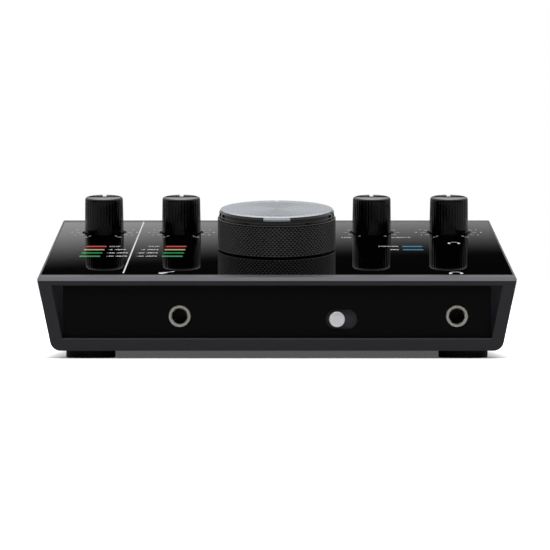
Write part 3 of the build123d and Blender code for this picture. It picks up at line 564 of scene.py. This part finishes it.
def knob_pointer():
    """Inlay whose upper edge follows the top, the rim and a little of the side."""
    top = SMALL_HEIGHT + POINTER_PROUD
    line = [
        (2.9, top - 1.2),
        (2.9, top - 0.10),
        (6.9, top - 0.08),
        (7.35, top - 0.02),
        (7.75, top),
        (8.1, top - 0.06),
        (8.45, top - 0.22),
        (8.68, top - 0.60),
        (8.76, top - 1.2),
    ]
    bm = bmesh.new()
    verts = [bm.verts.new((-POINTER_WIDTH / 2 * MM, along * MM, up * MM)) for along, up in line]
    face = bm.faces.new(verts)
    grown = bmesh.ops.extrude_face_region(bm, geom=[face])
    moved = [item for item in grown["geom"] if isinstance(item, bmesh.types.BMVert)]
    bmesh.ops.translate(bm, verts=moved, vec=(POINTER_WIDTH * MM, 0, 0))
    bmesh.ops.recalc_face_normals(bm, faces=bm.faces)
    return bm


for name in ("input_1", "input_2", "mix", "headphones"):
    body = f"{name}_control"
    piece(
        f"knob_inlay_{name}",
        knob_pointer(),
        seat(body, -SMALL_SINK),
        pointer_white,
        body,
        "pointer_white",
        [f"pointer_{name}"],
    )

# ---- large knob: a turned ring with a diamond knurl, a black polished rim and a spun face ----
# A black moulded body whose sharp knurl catches small lights, under an aluminium cap. It stands a small
# gap above the sheet, on the shaft of its own potentiometer.
LARGE_GAP = 0.4
LARGE_RADIUS = 26.4
KNURLS_ROUND = 90
KNURL_ROWS = 7.5
KNURL_DEPTH = 0.42
KNURL_MARGIN = 0.03
KNURL_FROM = 0.5
KNURL_TO = 13.45
LARGE_BODY_TOP = 13.95

knurl_plastic, tree, shader, coords = surface("black_moulded_knurl", "#0f0f13", 0.34, specular=0.5)
vary_roughness(tree, shader, coords, 2.0, 0.30, 0.42)
grain(tree, shader, coords, 0.15, 0.004)

row_count = int(KNURL_ROWS * 2)
row_height = (KNURL_TO - KNURL_FROM) / row_count
profile = [
    (3.2, 5.0),
    (3.2, 0.0),
    (7.0, 0.0),
    (7.0, 10.8),
    (23.2, 10.8),
    (23.6, 0.0),
    (LARGE_RADIUS - 0.5, 0.0),
    (LARGE_RADIUS - 0.15, 0.25),
]
for row in range(row_count + 1):
    profile.append((LARGE_RADIUS, KNURL_FROM + row * row_height))
profile += [
    (LARGE_RADIUS - 0.05, LARGE_BODY_TOP - 0.25),
    (LARGE_RADIUS - 0.25, LARGE_BODY_TOP),
    (20.0, LARGE_BODY_TOP),
    (0.0, LARGE_BODY_TOP),
]
bm = turned(profile, KNURLS_ROUND * 2)
for vert in bm.verts:
    height = vert.co.z / MM
    radius = math.hypot(vert.co.x, vert.co.y) / MM
    if radius < LARGE_RADIUS - 0.01 or not KNURL_FROM - 0.01 <= height <= KNURL_TO + 0.01:
        continue
    column = round(math.atan2(vert.co.y, vert.co.x) / math.tau * KNURLS_ROUND * 2)
    row = round((height - KNURL_FROM) / row_height)
    if (column + row) % 2:
        shrink = (radius - KNURL_DEPTH) / radius
        vert.co.x *= shrink
        vert.co.y *= shrink
knurl_faces = []
for face in bm.faces:
    middle = face.calc_center_median()
    outer = math.hypot(middle.x, middle.y) / MM > LARGE_RADIUS - KNURL_DEPTH - KNURL_MARGIN
    if outer and KNURL_FROM * MM < middle.z < KNURL_TO * MM:
        knurl_faces.append(face)
bmesh.ops.triangulate(bm, faces=knurl_faces, quad_method="SHORT_EDGE")
piece(
    "knurled_ring_output",
    bm,
    seat("output_control", LARGE_GAP),
    knurl_plastic,
    "output_control",
    "knob_black",
    ["knob_output"],
    sharp=12,
)

# Cap: the black polished rim and the spun face are one aluminium turning with two finishes.
CAP_BASE_RADIUS = 25.8
CAP_TOP_RADIUS = 25.3
CAP_TOP = 17.6
FACE_RADIUS = 25.0

cap_rim, tree, shader, coords = surface("polished_black_anodised_rim", "#060608", 0.08, specular=0.3)
vary_roughness(tree, shader, coords, 3.0, 0.07, 0.10)
grain(tree, shader, coords, 1.0, 0.001)

rim_profile = [
    (0.0, LARGE_BODY_TOP + 0.01),
    (CAP_BASE_RADIUS - 0.1, LARGE_BODY_TOP + 0.01),
    (CAP_BASE_RADIUS, LARGE_BODY_TOP + 0.15),
    (CAP_BASE_RADIUS, LARGE_BODY_TOP + 0.9),
    (CAP_BASE_RADIUS - 0.15, LARGE_BODY_TOP + 1.1),
    (CAP_TOP_RADIUS + 0.32, CAP_TOP - 1.05),
    (CAP_TOP_RADIUS + 0.27, CAP_TOP - 0.98),
    (FACE_RADIUS, CAP_TOP - 0.1),
    (0.0, CAP_TOP - 0.1),
]
piece(
    "cap_rim_output",
    turned(rim_profile, 192),
    seat("output_control", LARGE_GAP),
    cap_rim,
    "output_control",
    "spun_aluminium",
    ["knob_output_cap"],
)


def lathe_rings(tree, shader, repeats, detail, strength, depth_mm):
    """Fine rings left by a lathe, in relief and in the highlights' direction; returns their pattern."""
    polar = add_node(tree, "ShaderNodeUVMap", {"uv_map": "polar"})
    tangent = add_node(tree, "ShaderNodeTangent", {"direction_type": "UV_MAP", "uv_map": "polar"})
    tree.links.new(tangent.outputs[0], shader.inputs["Tangent"])
    rings = add_node(
        tree,
        "ShaderNodeMapping",
        inputs={"Vector": polar.outputs[0], "Scale": repeats},
    )
    lines = add_node(
        tree,
        "ShaderNodeTexNoise",
        inputs={"Vector": rings.outputs[0], "Scale": 1.0, "Detail": detail},
    )
    bump = add_node(
        tree,
        "ShaderNodeBump",
        inputs={"Strength": strength, "Distance": depth_mm * MM, "Height": lines.outputs["Fac"]},
    )
    tree.links.new(bump.outputs["Normal"], shader.inputs["Normal"])
    return lines


# Spun aluminium, clear anodised: pale and a little blue, with highlights stretched across the rings.
spun_metal, tree, shader, coords = surface("spun_anodised_aluminium", "#c0c6d0", 0.22, metallic=1.0)
shader.inputs["Anisotropic"].default_value = 0.5
lines = lathe_rings(tree, shader, (2.0, 260.0, 1.0), detail=3.0, strength=0.3, depth_mm=0.002)
tone = add_node(
    tree,
    "ShaderNodeMix",
    {"data_type": "RGBA"},
    {"Factor": lines.outputs["Fac"], 6: linear("#b8bec8"), 7: linear("#c8ced8")},
)
tree.links.new(tone.outputs[2], shader.inputs["Base Color"])


def polar_map(bm):
    """UV map with the angle along U and the radius, in face radii, along V."""
    layer = bm.loops.layers.uv.new("polar")
    for face in bm.faces:
        middle = face.calc_center_median()
        base = math.atan2(middle.y, middle.x) / math.tau
        for loop in face.loops:
            x, y = loop.vert.co.x, loop.vert.co.y
            radius = math.hypot(x, y)
            angle = math.atan2(y, x) / math.tau if radius > 0.01 * MM else base
            angle = base + ((angle - base + 0.5) % 1.0 - 0.5)
            loop[layer].uv = (angle, radius / (FACE_RADIUS * MM))


face_profile = [(radius, CAP_TOP) for radius in (0.0, 0.6, 6.0, 12.0, 18.0, 24.6)]
face_profile += [(FACE_RADIUS, CAP_TOP - 0.06), (FACE_RADIUS, CAP_TOP - 0.1), (0.0, CAP_TOP - 0.1)]
bm = turned(face_profile, 192)

# A short patch at the front follows the black rim's chamfer in a lighter metal: a painted highlight, standing
# in for the soft box's reflection in the chamfer.
HIGHLIGHT_SWEEP = math.radians(26.6)
HIGHLIGHT_STEPS = 16
highlight_patch_profile = [
    (FACE_RADIUS - 0.6, CAP_TOP - 0.05),
    (FACE_RADIUS, CAP_TOP - 0.05),
    (CAP_TOP_RADIUS + 0.33, CAP_TOP - 0.96),
    (CAP_TOP_RADIUS + 0.37, CAP_TOP - 1.6),
    (FACE_RADIUS - 0.6, CAP_TOP - 1.6),
]
start = math.radians(-90) - HIGHLIGHT_SWEEP / 2
rings_of_highlight_patch = []
for step in range(HIGHLIGHT_STEPS + 1):
    angle = start + HIGHLIGHT_SWEEP * step / HIGHLIGHT_STEPS
    ring = []
    for radius, height in highlight_patch_profile:
        across, along = radius * math.cos(angle), radius * math.sin(angle)
        ring.append(bm.verts.new((across * MM, along * MM, height * MM)))
    rings_of_highlight_patch.append(ring)
corners = len(highlight_patch_profile)
for ring, following in zip(rings_of_highlight_patch, rings_of_highlight_patch[1:]):
    for corner in range(corners):
        beyond = (corner + 1) % corners
        face = bm.faces.new((ring[corner], ring[beyond], following[beyond], following[corner]))
        face.material_index = 1
for ring in (rings_of_highlight_patch[0], rings_of_highlight_patch[-1]):
    bm.faces.new(ring).material_index = 1
bmesh.ops.recalc_face_normals(bm, faces=bm.faces)
polar_map(bm)
spun_face = piece(
    "spun_face_output",
    bm,
    seat("output_control", LARGE_GAP),
    spun_metal,
    "output_control",
    "spun_aluminium",
)
# Lighter metal for the painted highlight on the rim's front chamfer.
painted_highlight_metal, tree, shader, coords = surface("painted_highlight_aluminium", "#8d9197", 0.32, metallic=1.0)
vary_roughness(tree, shader, coords, 1.0, 0.28, 0.36)
grain(tree, shader, coords, 0.2, 0.002)
spun_face.data.materials.append(painted_highlight_metal)

DOT_RADIUS = 0.85
DOT_FROM_MIDDLE = 22.9
dot_profile = [
    (0.0, CAP_TOP - 0.05),
    (DOT_RADIUS, CAP_TOP - 0.05),
    (DOT_RADIUS, CAP_TOP + 0.04),
    (0.0, CAP_TOP + 0.06),
]
dot = turned(dot_profile, 32)
bmesh.ops.translate(dot, verts=dot.verts, vec=(0, DOT_FROM_MIDDLE * MM, 0))
piece(
    "dot_output",
    dot,
    seat("output_control", LARGE_GAP),
    pointer_white,
    "output_control",
    "pointer_white",
    ["pointer_output"],
)

# ---- light windows: smoked acrylic bars over lit LEDs, flush with the sheet ----
# Moulded bars pressed into slots in the sheet. The smoked plastic is dark and glows in its LED's colour,
# a little uneven along its length.
BAR = (9.2, 2.8, 0.5)
BAR_PROUD = 0.03
ROW_PITCH = 8.3
FIRST_ROW = 76.8
METER_1_X, METER_1_STEP = -81.05, -0.47
METER_2_X, METER_2_STEP = -45.15, -0.3
STATUS_X = 60.95
WINDOW_COLOUR = "#0c0c0c"
RED, AMBER, GREEN, PALE_GREEN, BLUE = "#ee6a68", "#f4c8a4", "#2eb858", "#58bc88", "#2688ac"
SLOPE = seat("output_control").to_3x3()
OUTPUT_PLACE = Vector(MOVING["output_control"]["pos_m"])
OUTPUT_FROM_FRONT = 71.3


def on_sheet(x, from_front, lift=0.0):
    """Place on the sloped sheet, at a level distance from the front edge in millimetres."""
    along = (from_front - OUTPUT_FROM_FRONT) * MM / SLOPE.col[1].y
    middle = OUTPUT_PLACE + SLOPE.col[0] * x * MM + SLOPE.col[1] * along + SLOPE.col[2] * lift * MM
    return Matrix.Translation(middle) @ SLOPE.to_4x4()


def light_material(name, colour):
    """Smoked plastic lit from behind, a little uneven along its length."""
    material, tree, shader, coords = surface(name, WINDOW_COLOUR, 0.06)
    noise = add_node(
        tree,
        "ShaderNodeTexNoise",
        inputs={"Vector": coords, "Scale": 700.0, "Detail": 2.0},
    )
    level = add_node(
        tree,
        "ShaderNodeMapRange",
        inputs={"Value": noise.outputs["Fac"], "To Min": 0.45, "To Max": 0.65},
    )
    shader.inputs["Emission Color"].default_value = linear(colour)
    tree.links.new(level.outputs["Result"], shader.inputs["Emission Strength"])
    return material


def bar_mesh(bm, place):
    """Add one bar with rounded ends to a bmesh."""
    made = bmesh.ops.create_cube(bm, size=1.0)["verts"]
    bmesh.ops.scale(bm, verts=made, vec=[side * MM for side in BAR])
    upright = [edge for edge in bm.edges if edge.verts[0] in made and edge.verts[1] in made]
    upright = [edge for edge in upright if abs((edge.verts[0].co - edge.verts[1].co).z) > 0.3 * MM]
    rounded = bmesh.ops.bevel(
        bm, geom=upright, offset=0.8 * MM, segments=4, profile=0.5, affect="EDGES", material=-1
    )
    verts = {vert for face in rounded["faces"] for vert in face.verts}
    bmesh.ops.transform(bm, matrix=place, verts=list(verts))


lit = {
    "red": (RED, []),
    "amber": (AMBER, []),
    "green": (GREEN, []),
    "pale_green": (PALE_GREEN, []),
    "blue": (BLUE, []),
}
for row, tone_name in enumerate(("red", "amber", "green", "pale_green")):
    from_front = FIRST_ROW - row * ROW_PITCH
    lit[tone_name][1].append((METER_1_X + row * METER_1_STEP, from_front))
    lit[tone_name][1].append((METER_2_X + row * METER_2_STEP, from_front))
    if row < 2:
        lit["blue"][1].append((STATUS_X, from_front))
for tone_name, (colour, places) in lit.items():
    bm = bmesh.new()
    for x, from_front in places:
        bar_mesh(bm, on_sheet(x, from_front, BAR_PROUD - BAR[2] / 2))
    bmesh.ops.recalc_face_normals(bm, faces=bm.faces)
    piece(
        f"light_bars_{tone_name}",
        bm,
        Matrix(),
        light_material(f"lit_{tone_name}_window", colour),
        "housing",
        "window_acrylic",
        ["light_windows"] if tone_name == "red" else (),
    )

# ---- printed marks: white ink screened on the sheet, a fraction of a hair above it ----
# Screen printed ink, matt white. Only plain scales, signs and generic words are printed.
INK_LIFT = 0.02
INK_THICKNESS = 0.01
TICKS = 11
TICK_SWEEP = 150.0
TICK_IN, TICK_OUT = 10.9, 12.9
TICK_WIDTH = 0.5
NUMBER_RADIUS = 15.0
NUMBER_SIZE = 2.0
LABEL_SIZE = 2.6
LETTER_WEIGHT = 0.05
KNOB_ROW = 114.6

ink, tree, shader, coords = surface("white_screen_ink", "#d6d6d8", 0.5)
vary_colour(tree, shader, coords, 0.6, "#cfcfd2", "#dededf")
grain(tree, shader, coords, 0.1, 0.002)
marks = bmesh.new()


def print_text(words, x, from_front, size, align="CENTER"):
    """Letters lying on the sheet."""
    curve = bpy.data.curves.new("words", "FONT")
    curve.body = words
    curve.size = size * MM
    curve.align_x = align
    curve.align_y = "CENTER"
    curve.extrude = INK_THICKNESS * MM
    curve.resolution_u = 2
    curve.offset = LETTER_WEIGHT * MM
    holder = bpy.data.objects.new("words", curve)
    bpy.context.collection.objects.link(holder)
    flat = bpy.data.meshes.new_from_object(holder.evaluated_get(bpy.context.evaluated_depsgraph_get()))
    bpy.data.objects.remove(holder)
    flat.transform(on_sheet(x, from_front, INK_LIFT))
    marks.from_mesh(flat)
    bpy.data.meshes.remove(flat)


def print_bar(x, from_front, length, width, turn_deg=0.0):
    """Straight stroke, its length up the slope before it is turned."""
    made = bmesh.ops.create_cube(marks, size=1.0)["verts"]
    bmesh.ops.scale(marks, verts=made, vec=(width * MM, length * MM, INK_THICKNESS * MM))
    turn = Matrix.Rotation(math.radians(-turn_deg), 4, "Z")
    bmesh.ops.transform(marks, matrix=on_sheet(x, from_front, INK_LIFT) @ turn, verts=made)


def print_arc(x, from_front, radius, width, from_deg, to_deg):
    """Curved stroke; angles run clockwise from the rear."""
    start = math.radians(90 - from_deg)
    inner = marks.verts.new((radius * MM * math.cos(start), radius * MM * math.sin(start), 0))
    outer_radius = (radius + width) * MM
    outer = marks.verts.new((outer_radius * math.cos(start), outer_radius * math.sin(start), 0))
    edge = marks.edges.new((inner, outer))
    before = set(marks.verts) - {inner, outer}
    bmesh.ops.spin(
        marks,
        geom=[inner, outer, edge],
        cent=(0, 0, 0),
        axis=(0, 0, 1),
        angle=-math.radians(to_deg - from_deg),
        steps=16,
    )
    added = [vert for vert in marks.verts if vert not in before]
    bmesh.ops.transform(marks, matrix=on_sheet(x, from_front, INK_LIFT), verts=added)


def print_disc(x, from_front, radius):
    """Round spot."""
    made = bmesh.ops.create_circle(marks, cap_ends=True, segments=20, radius=radius * MM)["verts"]
    bmesh.ops.transform(marks, matrix=on_sheet(x, from_front, INK_LIFT), verts=made)


for name in ("input_1", "input_2", "mix", "headphones"):
    knob_x = MOVING[f"{name}_control"]["pos_m"][0] / MM
    for tick in range(TICKS):
        angle = -TICK_SWEEP + 2 * TICK_SWEEP * tick / (TICKS - 1)
        across, back = math.sin(math.radians(angle)), math.cos(math.radians(angle))
        middle = (TICK_IN + TICK_OUT) / 2
        length = TICK_OUT - TICK_IN
        print_bar(knob_x + middle * across, KNOB_ROW + middle * back, length, TICK_WIDTH, angle)
        if name != "mix":
            number_x, number_y = knob_x + NUMBER_RADIUS * across, KNOB_ROW + NUMBER_RADIUS * back
            print_text(str(tick), number_x, number_y, NUMBER_SIZE)

# Words beside the controls and lights, and the numbers of the two inputs behind their knobs.
MIX_WORDS = (("USB", -12.0), ("DIRECT", 13.0))
MIX_WORDS_ROW = KNOB_ROW - 14.0
METER_WORDS = ("CLIP", "-6 dBFS", "-20 dBFS", "-40 dBFS")
METER_1_WORDS_X = -75.3
METER_2_WORDS_X = -52.7
STATUS_WORDS = ("POWER", "48V")
STATUS_WORDS_X = STATUS_X - 6.2
INPUT_NUMBERS = (("1", -84.0), ("2", -50.0))
INPUT_NUMBER_ROW = 139.0
INPUT_NUMBER_SIZE = 3.0

mix_x = MOVING["mix_control"]["pos_m"][0] / MM
for words, aside in MIX_WORDS:
    print_text(words, mix_x + aside, MIX_WORDS_ROW, LABEL_SIZE)
for row, words in enumerate(METER_WORDS):
    from_front = FIRST_ROW - row * ROW_PITCH
    print_text(words, METER_1_WORDS_X, from_front, LABEL_SIZE, "LEFT")
    print_text(words, METER_2_WORDS_X, from_front, LABEL_SIZE, "RIGHT")
for row, words in enumerate(STATUS_WORDS):
    print_text(words, STATUS_WORDS_X, FIRST_ROW - row * ROW_PITCH, LABEL_SIZE, "RIGHT")
for words, x in INPUT_NUMBERS:
    print_text(words, x, INPUT_NUMBER_ROW, INPUT_NUMBER_SIZE)

# Divider between the two inputs: one long line, a little slanted.
LINE_WIDTH = 0.6
line_low, line_high = Vector((-65.5, 11.0)), Vector((-62.75, 144.0))
line_middle = (line_low + line_high) / 2
line_run = line_high - line_low
line_turn = math.degrees(math.atan2(line_run.x, line_run.y / SLOPE.col[1].y))
print_bar(line_middle.x, line_middle.y, line_run.length / SLOPE.col[1].y, LINE_WIDTH, line_turn)


def print_headphones(x, from_front, size):
    """Sign of a pair of headphones: a headband and two ear pads."""
    print_arc(x, from_front - size * 0.1, size * 0.40, size * 0.11, -90, 90)
    for side in (-1, 1):
        print_bar(x + side * size * 0.42, from_front - size * 0.26, size * 0.38, size * 0.22)


def print_guitar(x, from_front, size):
    """Sign of a guitar: two round bouts, a neck and a head."""
    print_disc(x - size * 0.28, from_front - size * 0.22, size * 0.20)
    print_disc(x - size * 0.08, from_front - size * 0.06, size * 0.15)
    print_bar(x + size * 0.16, from_front + size * 0.14, size * 0.55, size * 0.07, 52)
    print_bar(x + size * 0.40, from_front + size * 0.33, size * 0.16, size * 0.13, 52)


print_headphones(80.2, 86.0, 5.2)
print_headphones(76.3, 11.5, 5.6)
print_guitar(-47.2, 12.4, 7.0)
bmesh.ops.recalc_face_normals(marks, faces=marks.faces)
piece("screen_printed_marks", marks, Matrix(), ink, "housing", "pointer_white")

# ---- jacks: nickel plated brass sleeves with a threaded nose, bevelled mouth and a dark bore ----
# Turned brass under bright nickel, slightly warm, with crisp highlights on the bevel. Each passes through its
# panel from the jack body behind it.
SLEEVE_RADIUS = 4.75
SLEEVE_BORE = 3.25
SLEEVE_LENGTH = 28.0
THREAD_PITCH = 0.5
THREAD_LENGTH = 5.0

nickel, tree, shader, coords = surface("bright_nickel_plate", "#e0ddd2", 0.24, metallic=1.0)
vary_roughness(tree, shader, coords, 1.5, 0.18, 0.32)
grain(tree, shader, coords, 0.3, 0.004)


def sleeve():
    """Sleeve with its mouth at its origin, running down from it."""
    outline = [
        (SLEEVE_BORE, -SLEEVE_LENGTH),
        (SLEEVE_BORE, -0.35),
        (SLEEVE_BORE + 0.35, 0.0),
        (SLEEVE_RADIUS - 0.25, 0.0),
    ]
    turns = int(THREAD_LENGTH / THREAD_PITCH)
    for turn in range(turns):
        outline.append((SLEEVE_RADIUS - 0.22, -0.25 - turn * THREAD_PITCH))
        outline.append((SLEEVE_RADIUS, -0.25 - (turn + 0.5) * THREAD_PITCH))
    outline.append((SLEEVE_RADIUS - 0.2, -0.25 - THREAD_LENGTH))
    outline.append((SLEEVE_RADIUS - 0.2, -SLEEVE_LENGTH))
    return turned(outline, 64, closed=True)


JACKS = {"instrument": -1, "headphone": -1, "line_in": 1, "out_left": 1, "out_right": 1}
for name, toward in JACKS.items():
    low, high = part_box(f"jack_{name}_sleeve")
    mouth = low[1] if toward < 0 else high[1]
    middle = Vector(((low[0] + high[0]) / 2, mouth, (low[2] + high[2]) / 2))
    turn = Matrix.Rotation(math.radians(90 if toward < 0 else -90), 4, "X")
    piece(
        f"threaded_sleeve_{name}",
        sleeve(),
        Matrix.Translation(middle) @ turn,
        nickel,
        "housing",
        "sleeve_nickel",
        [f"jack_{name}_sleeve"],
    )
dress("rear_jack_nuts", nickel)

# Connector bodies, chips and the ribbon: moulded PBT, black, with a fine even grain.
moulded, tree, shader, coords = surface("black_moulded_pbt", "#111112", 0.5)
vary_colour(tree, shader, coords, 2.0, "#0f0f10", "#141415")
grain(tree, shader, coords, 0.3, 0.006)
for node in ("combo_housing", "combo_core", "switch_body", "board_components", "board_link"):
    dress(node, moulded)
for name in JACKS:
    dress(f"jack_{name}_body", moulded)

# ---- slide switch: a round button turned from aluminium, on a grey slider with a textured shield ----
# The button's face keeps fine lathe rings. The slider behind it is moulded nylon with a coarse texture, seen
# through the slot beside the button.
BUTTON_RADIUS = 3.3

button_metal, tree, shader, coords = surface("turned_aluminium_button", "#f4f6fa", 0.35, metallic=0.6)
shader.inputs["Anisotropic"].default_value = 0.7
lathe_rings(tree, shader, (1.0, 300.0, 1.0), detail=2.0, strength=0.6, depth_mm=0.004)

low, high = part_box("switch_button")
button_length = (high[1] - low[1]) / MM
outline = [
    (0.0, 0.0),
    (2.0, -0.02),
    (BUTTON_RADIUS - 0.45, -0.04),
    (BUTTON_RADIUS - 0.15, -0.14),
    (BUTTON_RADIUS, -0.40),
    (BUTTON_RADIUS, -button_length),
    (0.0, -button_length),
]
bm = turned(outline, 96)
polar_map(bm)
middle = Vector(((low[0] + high[0]) / 2, low[1], (low[2] + high[2]) / 2))
piece(
    "turned_button_mode",
    bm,
    Matrix.Translation(middle) @ Matrix.Rotation(math.radians(90), 4, "X"),
    button_metal,
    "mode_control",
    "spun_aluminium",
    ["switch_button"],
)

slider_grey, tree, shader, coords = surface("textured_grey_slider", "#262628", 0.6)
vary_colour(tree, shader, coords, 0.5, "#1e1e20", "#303033")
grain(tree, shader, coords, 0.35, 0.05)
dress("switch_slider", slider_grey)

# ---- metal trim: screws, shafts, potentiometer cases, shield can, lock plate and the data port ----
# Stamped steel, steel screws and turned shafts, bright plated or blackened. Most of it is inside or at
# the rear, and shows as small grey and black metal.
zinc, tree, shader, coords = surface("zinc_plated_steel", "#b0b0b2", 0.35, metallic=1.0)
vary_roughness(tree, shader, coords, 1.0, 0.28, 0.45)
grain(tree, shader, coords, 0.2, 0.004)
black_oxide, tree, shader, coords = surface("black_oxide_steel", "#1a1a1b", 0.45, metallic=1.0)
vary_roughness(tree, shader, coords, 1.0, 0.35, 0.55)
grain(tree, shader, coords, 0.2, 0.004)
for node in ("board_screws", "shield_can", "lock_plate", "usb_port"):
    dress(node, zinc)
for name in ("input_1", "input_2", "mix", "headphones", "output"):
    dress(f"shaft_{name}", zinc)
    dress(f"pot_{name}", zinc)
for node in ("case_screws", "combo_screws"):
    dress(node, black_oxide)

# ---- circuit boards: green glass laminate, and the small LEDs on the upper one ----
# Etched fibreglass under a green mask, screwed to the case's posts. The LEDs are cast in clear epoxy.
laminate, tree, shader, coords = surface("green_circuit_laminate", "#1d4d33", 0.4)
vary_colour(tree, shader, coords, 4.0, "#1b4830", "#225a3b")
grain(tree, shader, coords, 0.5, 0.01)
for node in ("main_board", "control_board"):
    dress(node, laminate)
led_clear, tree, shader, coords = surface("clear_led_epoxy", "#dcdcd4", 0.25)
vary_colour(tree, shader, coords, 1.0, "#d6d6cd", "#e2e2da")
dress("leds", led_clear)
